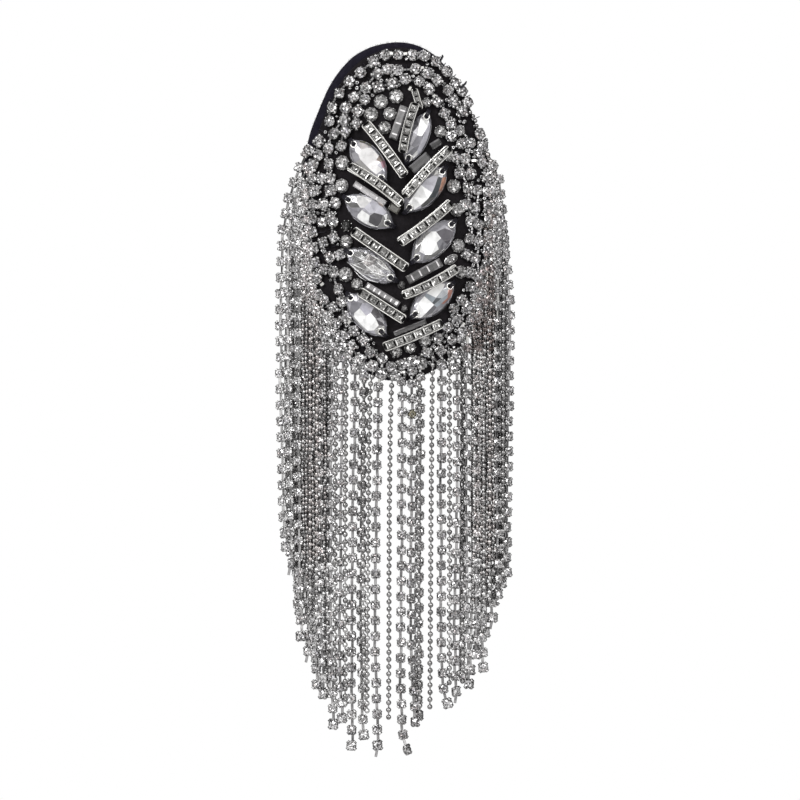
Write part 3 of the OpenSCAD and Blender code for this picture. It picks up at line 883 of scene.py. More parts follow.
make_piece("border_chain_outer_cups", border(OUTER, True, np.random.default_rng(40), (), loose_beads(np.random.default_rng(44))), CHAIN_MATS, ["border_chain_outer"])
make_piece("border_chain_middle_cups", border(MIDDLE, True, np.random.default_rng(41), EXTRA), CHAIN_MATS, ["border_chain_middle"])
make_piece("border_chain_inner_cups", border(INNER, False, np.random.default_rng(42)), CHAIN_MATS, ["border_chain_inner"])
make_piece("border_chain_inner_left_cups", border(INNER_LEFT, False, np.random.default_rng(43)), CHAIN_MATS, ["border_chain_inner_left"])
links = []
for u, v in ((470.2, 111.8), (473.4, 115.8), (475.6, 120.4), (476.9, 125.4), (477.6, 129.4), (487.0, 153.6), (489.0, 158.4)):
    links.append(BEAD.moved(on_face(402.0 + (u - 402.0) * 0.985, v, 0.95, 0.0, 0.80)))
for u, v, ln, turn in FLAT_LINKS:
    links.append(block(-0.42, 0.42, -ln / 2, ln / 2, -0.15, 0.15, 0.10, 7).moved(on_face(u, v, 1.35, -turn, 1.0, (0.05, 0.02))))
    for q in (-0.3, 0.3):
        links.append(tube([(q, 0, -1.2), (q, 0, -0.1)], 0.14, 5, 6).moved(on_face(u, v, 1.35, -turn)))
make_piece("border_flat_links", Form.join(links), CHAIN_MATS)

# ========================================================= ROUND STONES =====
#       u      v      d     tone: scales the painted facet tones (1 clear, under 0.4 a dark stone)
ROUNDS = [
    (381.0, 101.8, 14.5, 0.95), (396.2, 96.6, 14.5, 0.95), (371.3, 114.4, 14.5, 0.90), (390.0, 113.8, 13.5, 0.85), (384.8, 127.8, 13.0, 0.90),
    (426.5, 102.5, 10.0, 0.80), (440.0, 131.5, 12.5, 0.95), (448.6, 156.0, 11.0, 0.85), (342.8, 162.5, 15.0, 0.95), (342.1, 185.5, 14.5, 0.95),
    (453.3, 186.1, 14.5, 0.90), (456.4, 209.7, 14.0, 0.90), (346.6, 241.5, 13.5, 0.85), (345.9, 274.4, 15.0, 0.95), (357.4, 284.2, 12.0, 0.80),
    (457.8, 245.7, 14.0, 0.95), (460.2, 271.9, 13.0, 0.90), (396.3, 351.6, 12.0, 0.80), (410.0, 347.6, 12.0, 0.80), (424.9, 340.6, 13.0, 0.90),
    (347.0, 225.6, 12.0, 0.18),
]


def round_stone(r, rng, level):
    h0 = 0.62
    n = 24
    rings = [circle(r * 0.93, n, 0.0), circle(r * 0.985, n, 0.12), circle(r * 0.99, n, h0), circle(r * 0.955, n, h0 + 0.14), circle(r * 0.90, n, h0 - 0.12)]
    setting = loft(rings, 0, smooth=False)
    sides = 13
    stone = brilliant(r * 0.95, h0 + 0.02, 2.06 - h0 - 0.02, rng, sides=sides, table=0.64, star=0.84, dip=0.13)
    stone = tilt_normals_random(stone, rng, 0.030)
    m = len(stone.sizes)
    # the facets carry painted light and dark tones in place of reflections
    g = rng.choice([0.10, 0.30, 0.52, 0.95], p=[0.27, 0.30, 0.25, 0.18], size=m) * rng.uniform(0.85, 1.1, m) * min(level * 1.05, 1.05)
    if level < 0.3:
        g *= 0.35
    stone.tone = np.clip(g[:, None] * np.array([1.0, 0.985, 0.98]), 0, 1)
    claws = [prong(k * pi / 4 + 0.2, r * 1.0, 0.34, 0.25, 1.02, r * 0.84) for k in range(8)]
    return Form.join([setting, stone] + claws)


rng = np.random.default_rng(61)
for k, (u, v, d, level_k) in enumerate(ROUNDS):
    f = round_stone(d / 2 * PX, rng, level_k).moved(on_face(u, v, 0.06, rng.random() * 6.28, 1.0))
    make_piece(f"round_stone_{k + 1}_cut", f, [SILVER, ROUND_CRYSTAL], [f"round_stone_{k + 1}"])

# ======================================================== POINTED STONES ====
# tips and width of each stone on the chart
MARQUISES = [
    (428.6, 110.6, 405.4, 164.6, 23), (350.6, 139.6, 387.0, 183.2, 29), (446.3, 166.4, 403.6, 213.5, 29), (343.7, 196.3, 395.0, 227.0, 29),
    (455.7, 219.6, 410.4, 263.0, 30), (345.3, 249.8, 397.9, 281.4, 29), (454.2, 282.0, 409.0, 318.5, 29), (347.2, 292.8, 387.4, 336.8, 29),
]
# the big facets of each stone: painted tone and hue, standing in for the light and colour each facet reflects, and
# corners (u, v), charted
FACETS = [
    [(0.97, "plain", [(420, 119), (428, 121), (427, 127), (424, 132), (421, 137), (416.5, 136), (418, 126)]),
     (0.55, "cool", [(416.5, 136), (421, 137), (419.5, 145), (413, 148), (410, 146)]),
     (0.90, "cool", [(428, 121), (430, 124), (429.5, 131), (426.5, 141), (421, 151), (417, 155), (416.5, 151), (421, 141), (424, 132), (427, 127)]),
     (0.50, "cool", [(413, 148), (419.5, 145), (416.5, 151), (412, 156), (407.5, 158), (406.5, 154)]),
     (0.97, "plain", [(412, 156), (416.5, 151), (417, 155), (411, 161), (407.5, 158)]),
     (0.66, "cool", [(418, 126), (416.5, 136), (410, 146), (408, 144), (412, 133)])],
    [(0.93, "plain", [(362, 150), (369, 148), (376, 149), (380, 156), (377.5, 161), (379, 166), (384, 170), (378, 175), (373, 171), (368, 166), (362, 160), (359.5, 154)]),
     (0.78, "warm", [(361, 143), (367, 143), (373, 147), (369, 148), (362, 150)]),
     (0.42, "olive", [(358, 138.6), (364, 139.3), (372, 142.5), (377, 146.5), (373, 147), (367, 143), (361, 143)]),
     (0.50, "tan", [(380, 152.5), (383.5, 157), (386, 161.5), (382, 162.5), (377.5, 161), (380, 156)]),
     (0.62, "pink", [(382, 162.5), (386, 161.5), (389, 166), (387.5, 169.5), (384, 168)]),
     (0.47, "cool", [(350, 148), (357, 152), (359.5, 154), (362, 160), (356, 163), (350, 159), (348.5, 153)]),
     (0.60, "plain", [(352, 165.5), (356, 163), (362, 160), (368, 166), (373, 171), (368, 173), (360, 171)]),
     (0.72, "plain", [(377, 146.5), (380, 152.5), (380, 156), (376, 149), (373, 147)])],
    [(1.00, "plain", [(420, 185.5), (431, 193), (427, 199), (420, 205.5), (413, 211), (411, 206), (407.5, 203), (412, 197)]),
     (0.80, "cool", [(420, 185.5), (425, 180), (433, 176), (437, 177), (434, 186), (431, 193)]),
     (0.34, "blue", [(437, 177), (441.5, 178), (440, 184), (438.5, 190), (434.5, 197), (427, 199), (431, 193), (434, 186)]),
     (0.62, "orange", [(441.5, 178), (445.5, 177.5), (446.2, 181), (443.5, 187), (439.8, 193.5), (438.5, 190), (440, 184)]),
     (0.66, "plain", [(429, 172.5), (436, 169), (438, 173), (437, 177), (433, 176)]),
     (0.40, "plain", [(427, 199), (434.5, 197), (438.5, 192), (436, 199), (430, 205.5), (422, 210), (420, 205.5)]),
     (0.58, "plain", [(412, 197), (420, 185.5), (425, 180), (417, 186), (409, 194), (406.5, 199)])],
    [(0.86, "plain", [(357, 193.5), (364, 192.5), (371, 194.5), (375, 197), (371, 203), (366, 208), (362, 208), (358.5, 203), (358, 198)]),
     (0.82, "cool", [(375, 197), (380, 201.5), (380.5, 205.5), (384.5, 207), (390, 212.5), (385, 215.5), (376, 213), (371, 213), (366, 208), (371, 203)]),
     (0.52, "tan", [(380, 201.5), (384, 201), (389, 206.5), (384.5, 207), (380.5, 205.5)]),
     (0.58, "cool", [(345, 204), (352, 208), (362, 208), (360, 212), (357.5, 218), (354, 221), (350, 215)]),
     (0.42, "plain", [(346, 199), (352, 203), (358.5, 203), (362, 208), (352, 208), (345, 204)]),
     (1.00, "plain", [(363.5, 210.5), (371.5, 216), (370, 222.5), (378.5, 227), (384, 231.5), (376, 231.5), (366, 228), (357.5, 220), (359, 215)]),
     (0.27, "dusk", [(376, 213), (385, 215.5), (383, 222), (378.5, 227), (370, 222.5), (371.5, 216)]),
     (0.68, "cool", [(366, 208), (371, 213), (376, 213), (371.5, 216), (363.5, 210.5)]),
     (0.45, "plain", [(385, 215.5), (391, 214.5), (395, 220), (394, 226), (387, 230), (378.5, 227), (383, 222)])],
    [(1.00, "plain", [(430, 232), (434.5, 232), (439.5, 238.5), (435, 243), (437.5, 249.5), (430, 255), (424, 255), (418, 252), (420, 243), (424.5, 236.5)]),
     (0.66, "cool", [(426, 231), (433, 224.5), (440, 220), (446, 219.5), (443, 225), (446, 227), (434.5, 232), (430, 232)]),
     (0.40, "dusk", [(434.5, 232), (444, 228.5), (452, 226.5), (455, 231.5), (453.5, 241), (449, 246), (442, 241), (439.5, 238.5)]),
     (0.52, "cool", [(439.5, 238.5), (442, 241), (449, 246), (444, 251), (437.5, 249.5), (435, 243)]),
     (0.46, "plain", [(437.5, 249.5), (444, 251), (436, 258), (425, 262.5), (422, 257), (424, 255), (430, 255)]),
     (0.55, "plain", [(418, 252), (413.5, 254.5), (411, 250), (414, 242), (420, 235), (426, 231), (430, 232), (424.5, 236.5), (420, 243)])],
    [(0.50, "plain", [(352, 256), (360, 251), (370, 254), (364, 262), (356, 264)]),
     (0.60, "warm", [(370, 254), (378, 258), (375, 265), (368, 268), (364, 262)]),
     (0.66, "plain", [(378, 258), (387, 264), (392, 271), (382, 270), (375, 265)]),
     (0.48, "plain", [(356, 264), (364, 262), (368, 268), (374, 275), (364, 275)]),
     (0.70, "plain", [(368, 268), (375, 265), (382, 270), (388, 276), (380, 279), (374, 275)]),
     (0.60, "plain", [(352, 262), (356, 264), (364, 275), (372, 282), (362, 278), (355, 270)])],
    [(1.00, "plain", [(425.5, 293.5), (434, 286), (440.5, 282), (444, 284.5), (441.5, 289.5), (434.5, 298)]),
     (1.00, "plain", [(423, 296.5), (432.5, 305), (424.5, 313.5), (420, 319), (416, 318), (417, 312), (414.5, 309), (417, 303)]),
     (0.70, "cool", [(411, 303), (417, 296.5), (423, 296.5), (417, 303), (414.5, 309), (410, 307)]),
     (0.60, "blue", [(425.5, 293.5), (434.5, 298), (430.5, 303), (423, 296.5)]),
     (0.34, "blue", [(441.5, 289.5), (446.5, 287.5), (446.3, 294), (440.5, 298.5), (432.5, 305), (430.5, 303), (434.5, 298)]),
     (0.66, "blue", [(446.3, 294), (446.3, 298), (440, 303.8), (435.5, 307.5), (432.5, 305), (440.5, 298.5)]),
     (0.40, "cool", [(432.5, 305), (435.5, 307.5), (431, 313.5), (424, 318), (420, 319), (424.5, 313.5)]),
     (0.60, "red_brown_flash", [(446.5, 287.5), (450, 285), (454, 283), (452.5, 290), (448.5, 297.5), (443, 304), (440, 303.8), (446.3, 298), (446.3, 294)]),
     (0.62, "cool", [(425.5, 293.5), (417, 296.5), (424, 289), (433, 283.5), (440.5, 282), (434, 286)]),
     (0.55, "cool", [(435.5, 307.5), (440, 303.8), (443, 304), (438, 309), (431, 313.5)])],
    [(1.00, "plain", [(356, 313), (361.5, 308.5), (368, 316), (372.5, 313), (377.5, 319), (380.5, 325.5), (375.5, 330.5), (369, 331), (361, 323.5), (355, 316.5)]),
     (0.78, "lavender", [(364, 303.5), (370, 302.5), (375, 308), (372.5, 313), (368, 316), (361.5, 308.5)]),
     (0.30, "dusk", [(375, 308), (380, 311), (386, 316.5), (388.5, 323.5), (386, 327), (380.5, 325.5), (377.5, 319), (372.5, 313)]),
     (0.50, "cool", [(352, 305), (358, 301.5), (364, 303.5), (361.5, 308.5), (356, 313), (351, 311)]),
     (0.70, "plain", [(352.5, 317.5), (355, 316.5), (361, 323.5), (369, 331), (363, 331), (356, 325)]),
     (0.62, "cool", [(351.5, 297.5), (358, 297), (366, 300), (370, 302.5), (364, 303.5), (358, 301.5)]),
     (0.95, "plain", [(386, 316.5), (389, 320), (390, 327), (386, 327), (388.5, 323.5)]),
     (0.60, "plain", [(375.5, 330.5), (380.5, 325.5), (386, 327), (388, 333), (382, 336)])],
]
# hues painted into the facets: the coloured flashes and reflected colours the cut throws back
HUES = {"plain": (1.0, 0.985, 0.985), "cool": (0.97, 0.955, 1.05), "blue": (0.88, 0.98, 1.08), "dusk": (1.02, 0.96, 1.08), "warm": (1.03, 0.97, 0.96),
        "lavender": (0.98, 0.96, 1.09), "olive": (1.10, 1.05, 0.66), "tan": (1.18, 0.96, 0.84), "pink": (1.35, 0.76, 0.92),
        "orange": (1.60, 0.86, 0.62), "red_brown_flash": (1.22, 0.60, 0.48)}


def glint(tone, hue, rng):
    k = rng.uniform(0.95, 1.05) if tone < 0.9 else rng.uniform(0.985, 1.0)
    g = (tone * k) ** 2.1
    return np.clip(np.array(HUES[hue]) * g if tone < 0.95 else np.array([g, g, g]), 0, 1)


def inside(poly, x, y):
    hit = False
    for (xa, ya), (xb, yb) in zip(poly, poly[1:] + poly[:1]):
        if (ya > y) != (yb > y) and x < (xb - xa) * (y - ya) / (yb - ya) + xa:
            hit = not hit
    return hit


HOLE_Q = 0.765


def crown(q, s):
    return 2.25 + 1.28 * (1 - (q / 0.90) ** 2 - (s / 0.80) ** 2)


def pointed_stone(stone, l, w, rng):
    """A pointed sew-on stone: flat back, a rim of narrow bands, a crown of flat facets,
    and a blind sewing hole near each tip. Its first tip is at -x."""
    from mathutils.geometry import delaunay_2d_cdt
    from mathutils import Vector
    u1, v1, u2, v2 = MARQUISES[stone][:4]
    turn = atan2(v1 - v2, u2 - u1)
    uc, vc = (u1 + u2) / 2, (v1 + v2) / 2
    a, b = l / 2, w / 2

    def local(u, v):
        dx, dy = (u - uc) * PX, (vc - v) * PX
        return dx * cos(turn) + dy * sin(turn), -dx * sin(turn) + dy * cos(turn)

    def side_of(x):
        return max(1 - abs(x / a) ** 2.5, 0.10)

    Q = [-0.99, -0.90, -0.76, -0.58, -0.36, -0.12, 0.12, 0.36, 0.58, 0.76, 0.90, 0.99]
    half = [max(1 - abs(q) ** 2.5, 0.10) for q in Q]
    ring = [(q, -h) for q, h in zip(Q, half)] + [(q, h) for q, h in zip(reversed(Q), reversed(half))]
    n = len(ring)
    P2, P3, E = [], [], []

    def add(x, y, z, near=0.0):
        if near:
            for k, p in enumerate(P2):
                if hypot(p.x - x, p.y - y) < near:
                    return k
        P2.append(Vector((x, y)))
        P3.append((x, y, z))
        return len(P2) - 1

    def loop(ids):
        E.extend((ids[i], ids[(i + 1) % len(ids)]) for i in range(len(ids)) if ids[i] != ids[(i + 1) % len(ids)])

    girdle = [add(q * a, s * b, 1.15) for q, s in ring]
    loop(girdle)
    bands = []
    for kq, ks, z in ((0.975, 0.945, 1.50), (0.955, 0.885, 1.74)):
        ids = [add(q * a * kq, s * b * ks, min(z, crown(q * kq, s * ks) + 0.5)) for q, s in ring]
        loop(ids)
        bands.append(ids)
    inner = [(q * 0.93, s * 0.825) for q, s in ring if abs(q) < 0.95]
    inner_ids = [add(q * a, s * b, max(crown(q, s), 1.95)) for q, s in inner]
    loop(inner_ids)
    holes = []
    for side in (-1, 1):
        ids = []
        for k in range(10):
            t = 2 * pi * k / 10 + 0.1
            x, y = side * HOLE_Q * a + 0.70 * cos(t), 0.70 * sin(t)
            ids.append(add(x, y, crown(x / a, y / b)))
        loop(ids)
        holes.append(ids)
    polys = []
    rim = [(q * a, s * b) for q, s in inner]
    for tone, hue, poly in FACETS[stone]:
        flat = [local(u, v) for u, v in poly]
        polys.append((tone, hue, flat))
        ids = []
        for x, y in flat:
            # corners past the inner rim are drawn in to it
            for _ in range(12):
                if inside(rim, x, y):
                    break
                x, y = x * 0.97, y * 0.94
            if min(hypot(x - side * HOLE_Q * a, y) for side in (-1, 1)) < 1.0:
                continue
            ids.append(add(x, y, crown(x / a, y / b) + rng.normal(0, 0.03), 0.30))
        if len(ids) > 2:
            loop(ids)
    if stone == 5:
        for _ in range(70):
            x, y = rng.uniform(-0.8, 0.8) * a, rng.uniform(-0.75, 0.75) * b
            if inside(rim, x, y) and min(hypot(x - side * HOLE_Q * a, y) for side in (-1, 1)) > 1.1:
                add(x, y, crown(x / a, y / b) + rng.normal(0, 0.06), 0.5)
    vo, eo, fo, ov, oe, of_ = delaunay_2d_cdt(P2, E, [], 1, 1e-5)
    V = []
    for k, orig in enumerate(ov):
        p = vo[k]
        z = P3[orig[0]][2] if orig and orig[0] < len(P3) else crown(p.x / a, p.y / b)
        V.append((p.x, p.y, z))
    F, tones = [], []
    band_tone = {}
    for f in fo:
        x = sum(V[i][0] for i in f) / len(f)
        y = sum(V[i][1] for i in f) / len(f)
        if hypot(abs(x) - HOLE_Q * a, y) < 0.60:
            continue
        r = abs(y) / (b * side_of(x))
        out = not inside(rim, x, y)
        if out:
            # three narrow bands round the rim, painted light, dark and middling in place of their reflections
            lvl = 0 if r > 0.945 or abs(x) > 0.97 * a else 1 if r > 0.885 or abs(x) > 0.95 * a else 2
            key = (lvl, int((x / a + 1) * 3.2), y > 0)
            if key not in band_tone:
                band_tone[key] = (rng.choice([0.35, 0.88]), rng.uniform(0.15, 0.34), rng.uniform(0.55, 0.95))[lvl]
            tone, hue = band_tone[key], "cool"
            for t, h, flat in polys:
                if h in ("pink", "orange", "red_brown_flash", "olive", "tan") and lvl > 0 and inside(flat, x, y):
                    tone, hue = t, h
                    break
        else:
            tone, hue = rng.uniform(0.42, 0.70), "cool"
            for t, h, flat in polys:
                if inside(flat, x, y):
                    tone, hue = (t if stone != 5 else np.clip(t + rng.normal(0, 0.13), 0.25, 0.98)), h
                    break
        F.append(tuple(f))
        tones.append(glint(tone, hue, rng))
    index = {}
    for k, orig in enumerate(ov):
        for o in orig:
            index[o] = k
    top = [index[k] for k in girdle]

    def face(ids, tone):
        F.append(tuple(ids))
        tones.append(np.asarray(tone, float))

    base = len(V)
    V += [(q * a, s * b, 0.55) for q, s in ring] + [(q * a * 0.95, s * b * 0.93, 0.02) for q, s in ring]
    for i in range(n):
        j = (i + 1) % n
        g = rng.uniform(0.10, 0.40)
        face((base + i, base + j, top[j], top[i]), (g, g, g))
        face((base + n + i, base + n + j, base + j, base + i), (0.12, 0.12, 0.12))
    face(list(reversed(range(base + n, base + 2 * n))), (0.10, 0.10, 0.10))
    # each blind hole: walls painted dark grey and floor near black, painted shade in the hole
    for side, ids in zip((-1, 1), holes):
        k0 = len(V)
        for o in ids:
            x, y, z = V[index[o]]
            V.append((side * HOLE_Q * a + (x - side * HOLE_Q * a) * 0.94, y * 0.94, 0.9))
        m = len(ids)
        for k in range(m):
            face((index[ids[k]], index[ids[(k + 1) % m]], k0 + (k + 1) % m, k0 + k), (0.25, 0.25, 0.25))
        face([k0 + k for k in range(m)], (0.01, 0.01, 0.01))
    return V, F, np.array(tones)


def finish_pointed(V, F, T, m):
    """Turns the facets outwards and gives the strong edges a fine bevel whose tone is raised: a painted edge glint."""
    bm = bmesh.new()
    lay = bm.faces.layers.float_vector.new("tone_f")
    vs = [bm.verts.new(p) for p in V]
    for f, t in zip(F, T):
        try:
            fc = bm.faces.new([vs[i] for i in f])
        except ValueError:
            continue
        fc[lay] = tuple(t)
    bmesh.ops.recalc_face_normals(bm, faces=bm.faces)
    bm.normal_update()
    edges = [e for e in bm.edges if len(e.link_faces) == 2 and min(v.co.z for v in e.verts) > 1.1
             and (abs(e.link_faces[0][lay][1] - e.link_faces[1][lay][1]) > 0.10 or e.calc_face_angle(0.0) > 0.42)
             and all(f.calc_area() > 0.35 for f in e.link_faces)]
    bmesh.ops.bevel(bm, geom=edges, offset=0.035, offset_type="OFFSET", segments=1, profile=0.5, affect="EDGES", clamp_overlap=True, material=1)
    v = np.array([tuple(p.co) for p in bm.verts])
    bm.verts.index_update()
    fl = [[q.index for q in fc.verts] for fc in bm.faces]
    mats = np.array([fc.material_index for fc in bm.faces])
    tones = np.array([tuple(fc[lay]) for fc in bm.faces])
    edge = mats == 1
    tones[edge] = np.clip(tones[edge] * 0.5 + 0.45, 0, 1)
    bm.free()
    return Form(v, fl, mats, tones).moved(m)


def tone_colour(g, rng):
    g = g ** 1.7
    t = np.array([g, g * 0.985, g * 1.0])
    if 0.1 < g < 0.85:
        t = t * np.array([0.985, 0.965, 1.05])
    return np.clip(t, 0, 1)


def between(u1, v1, u2, v2, lift):
    return on_face((u1 + u2) / 2, (v1 + v2) / 2, lift, atan2(v1 - v2, u2 - u1)), hypot(u2 - u1, v2 - v1) * PX


# the flowing ridges of the sixth stone, which is cut in waves, drawn in full white as a painted highlight along their
# crests: u and v
WAVES = [
    [(349, 262), (355, 267), (361, 273), (370, 280), (379, 283)], [(364, 263), (370, 268), (375, 273), (381, 275), (388, 277)],
    [(377, 261), (382, 266), (388, 270), (392, 272)], [(357, 256), (363, 259), (368, 261), (374, 262)], [(352, 263), (358, 266), (366, 270)],
    [(356, 271), (361, 277), (367, 281)], [(370, 254), (377, 258), (384, 262)], [(368, 275), (374, 278), (380, 279)],
]

thread_parts = []
for k, s in enumerate(MARQUISES):
    rng = np.random.default_rng(80 + k)
    m, l = between(*s[:4], 0.06)
    w = s[4] * PX
    V, F, T = pointed_stone(k, l, w, rng)
    form = finish_pointed(V, F, T, m)
    # a ring of bright rail silver round each hole, a painted highlight on the hole's edge, and the thread that comes
    # out of it over the tip
    extra = []
    for side in (-1, 1):
        q = HOLE_Q * side
        pts = []
        for t in np.arange(16) * 2 * pi / 16:
            x, y = q * l / 2 + 0.92 * cos(t), 0.92 * sin(t)
            pts.append((x, y, crown(x / (l / 2), y / (w / 2)) + 0.02))
        ring_f = tube(pts, 0.25, 6, 2, True, closed=True)
        extra.append(ring_f)
        z = crown(q, 0)
        for j in range(4):
            yy = (-0.42, -0.14, 0.15, 0.43)[j]
            end = l / 2 + 0.40
            path = [(q * l / 2 - side * 0.15, yy * 0.6, 1.4), (q * l / 2 + side * 0.02, yy * 0.75, z - 0.02),
                    (q * l / 2 + side * 0.60, yy, z + 0.10), (side * l / 2 * 0.985, yy * 1.05, 1.55), (side * (l / 2 + 0.20), yy * 1.1, 0.9),
                    (side * end, yy * 1.05, 0.05)]
            thread_parts.append(tube(path, 0.20, 6).moved(m))
    if k == 5:
        inv = np.linalg.inv(m)
        for wave in WAVES:
            pts = []
            for u, v in wave:
                p = inv @ np.append(on_face(u, v, 2.6)[:3, 3], 1.0)
                pts.append((p[0], p[1], crown(p[0] / (l / 2), p[1] / (w / 2)) + 0.01))
            n_p = len(pts)
            extra.append(tube(pts, [0.05] + [0.17] * (n_p - 2) + [0.05], 6, 3, True))
            # painted highlight: the ridge in full white
            extra[-1].tone[:] = 1.0
    form = Form.join([form] + [e.moved(m) for e in extra])
    make_piece(f"marquise_{k + 1}_cut", form, [WAVY_CRYSTAL if k == 5 else POINTED_CRYSTAL, CRYSTAL_EDGE, RAIL_METAL, POINTED_CRYSTAL],
               [f"marquise_{k + 1}"])

# ========================================================== CHANNEL BARS ====
#        u1     v1     u2     v2     width  n  lift  corded rail (-1 right of the run, 1 left, 0 none)
BARS = [
    (413.6, 89.4, 419.8, 110.0, 7.0, 3, 0.2, 0, 0.0), (366.0, 123.5, 406.0, 177.0, 10.5, 6, 2.5, 0, 0.3),
    (415.0, 104.0, 402.0, 154.0, 9.5, 6, 3.8, 0, -0.5), (350.5, 166.5, 404.0, 205.0, 10.0, 6, 2.5, -1, 0.8),
    (448.0, 149.0, 402.0, 197.0, 10.0, 6, 3.8, -1, -0.4), (354.0, 231.0, 408.5, 269.0, 10.5, 6, 2.5, 0, 0.0),
    (450.0, 203.0, 397.5, 243.5, 10.5, 6, 2.5, -1, 0.5), (360.5, 291.5, 406.0, 320.5, 10.0, 5, 2.7, 0, 0.0),
    (455.5, 268.0, 400.5, 296.0, 9.5, 6, 2.7, -1, 0.7), (383.0, 347.5, 442.0, 323.0, 10.0, 6, 2.5, 0, -0.3),
]


def square_stone(cx, hx, hy, z0, z1, rng):
    """A square stone with a stepped crown and a table broken into small facets; the facets carry painted light and dark
    tones in place of reflections, the lower sides darkest.
    """
    def sq(s, z, jit=0.0):
        return [(cx + hx * s * p + rng.normal(0, jit), hy * s * q + rng.normal(0, jit), z)
                for p, q in ((-1, -1), (0, -1), (1, -1), (1, 0), (1, 1), (0, 1), (-1, 1), (-1, 0))]
    h = z1 - z0
    rings = [sq(1.0, z0), sq(1.0, z0 + h * 0.72), sq(0.86, z0 + h * 0.93, 0.02), sq(0.62, z0 + h * 0.88, 0.04), sq(0.34, z0 + h * 0.98, 0.04)]
    V = [p for r in rings for p in r] + [(cx, 0.0, z0 + h * 0.92)]
    F, T = [], []
    for r in range(4):
        for i in range(8):
            a, b = r * 8 + i, r * 8 + (i + 1) % 8
            if r == 0:
                F.append((a, b, b + 8, a + 8))
                T.append(rng.uniform(0.10, 0.30))
                continue
            pair = [(a, b, b + 8), (a, b + 8, a + 8)] if (i + r) % 2 else [(a, b, a + 8), (b, b + 8, a + 8)]
            for f in pair:
                F.append(f)
                T.append(rng.uniform(0.55, 0.95) if r == 1 and rng.random() < 0.4 else rng.choice([0.14, 0.34, 0.56, 0.92], p=[0.26, 0.30, 0.28, 0.16]))
    for i in range(8):
        F.append((32 + i, 32 + (i + 1) % 8, 40))
        T.append(rng.choice([0.12, 0.40, 0.60, 0.95], p=[0.25, 0.3, 0.25, 0.2]))
    F.append(tuple(reversed(range(8))))
    T.append(0.05)
    f = Form(V, F, 1)
    g = np.array(T)[:, None] * np.array([1.0, 0.985, 0.955]) * rng.uniform(0.42, 0.70)
    f.tone = np.clip(g, 0, 1)
    return f


def channel_bar(l, w, n, corded, bow, rng):
    rail = 0.36
    H = 2.4
    # the floor in the near-black channel metal: painted shade between the stones
    parts = [block(-l / 2 + 0.05, l / 2 - 0.05, -w / 2 + 0.02, w / 2 - 0.02, 0.0, 0.62, 0.05, 3)]
    for side in (-1, 1):
        y0, y1 = (w / 2 - rail, w / 2) if side > 0 else (-w / 2, -w / 2 + rail)
        if corded == side:
            # a rail with a rope edge: two ridges with fine rungs between them
            parts.append(block(-l / 2, l / 2, y0, y1, 0.1, H - 0.22, 0.03, 2))
            for yy in (y0 + 0.09, y1 - 0.09):
                parts.append(tube([(x, yy, H - 0.16) for x in l / 2 * np.array([-1, -0.965, -0.93, -0.88, -0.5, 0, 0.5, 0.88, 0.93, 0.965, 1])], 0.105, 6, 2))
            rungs = int(l / 0.42)
            for k in range(rungs):
                x = -l / 2 + (k + 0.5) * l / rungs
                parts.append(block(x - 0.09, x + 0.09, y0 + 0.05, y1 - 0.05, H - 0.25, H - 0.09, 0.03, 2))
        else:
            # a plain rail, rounded along its top
            prof = [(y0, 0.1), (y1, 0.1), (y1, H - 0.16), (y1 - 0.10, H - 0.03), (y0 + 0.10, H - 0.03), (y0, H - 0.16)]
            rings = []
            for x in l / 2 * np.array([-1, -0.985, -0.965, -0.94, -0.91, -0.88, -0.6, -0.3, 0, 0.3, 0.6, 0.88, 0.91, 0.94, 0.965, 0.985, 1]):
                dy = 0.0
                rings.append([(x, y + dy, z) for y, z in prof])
            parts.append(loft(rings, 2, smooth=False))
    cell = (l - 1.1) / n
    for k in range(n):
        cx = -l / 2 + 0.55 + cell * (k + 0.5)
        hx = (cell - 0.36) / 2
        hy = w / 2 - rail + 0.02
        parts.append(square_stone(cx, hx, hy, 0.62, H - 0.12, rng))
        for ex in (-1, 1):
            x = cx + ex * (hx + 0.06)
            for sy in (-1, 1):
                yb = sy * (hy - 0.18)
                parts.append(block(x - 0.09, x + 0.09, yb - 0.14, yb + 0.14, 0.6, H - 0.34, 0.08, 0))
    # ends closed by a low wall in the near-black channel metal, painted shade
    for ex in (-1, 1):
        x0, x1 = (l / 2 - 0.16, l / 2) if ex > 0 else (-l / 2, -l / 2 + 0.16)
        parts.append(block(x0, x1, -w / 2 + rail * 0.8, w / 2 - rail * 0.8, 0.1, H - 0.75, 0.05, 3))
    f = Form.join(parts)
    # the bar is a little bowed, and its ends draw in
    q = f.v[:, 0] / (l / 2)
    e = np.clip((np.abs(f.v[:, 0]) - (l / 2 - 0.75)) / 0.75, 0, 1)
    f.v[:, 1] = f.v[:, 1] * np.sqrt(1 - 0.80 * e ** 2.5) + bow * (1 - q ** 2)
    return f


for k, s in enumerate(BARS):
    rng = np.random.default_rng(120 + k)
    m, l = between(*s[:4], s[6])
    f = channel_bar(l, s[4] * PX, s[5], s[7], s[8], rng).moved(m)
    make_piece(f"channel_bar_{k + 1}_set", f, [SILVER, SMALL_CRYSTAL, RAIL_METAL, CHANNEL_SHADE_METAL], [f"channel_bar_{k + 1}"])

# ============================================================= BAGUETTES ====
#           u1     v1     u2     v2     w    tone  cells
BAGUETTES = [
    (404.5, 106.5, 393.0, 139.5, 8.5, 0.36, 3), (411.0, 170.5, 428.5, 155.5, 9.5, 0.30, 1), (354.8, 183.4, 386.0, 204.0, 6.0, 0.74, 2),
    (407.0, 280.6, 441.0, 262.0, 9.0, 0.32, 4), (366.4, 284.9, 399.5, 305.0, 6.5, 0.36, 6), (394.0, 334.2, 426.0, 321.2, 5.0, 0.24, 1),
    (440.0, 141.2, 430.5, 147.0, 7.0, 0.24, 1),
]


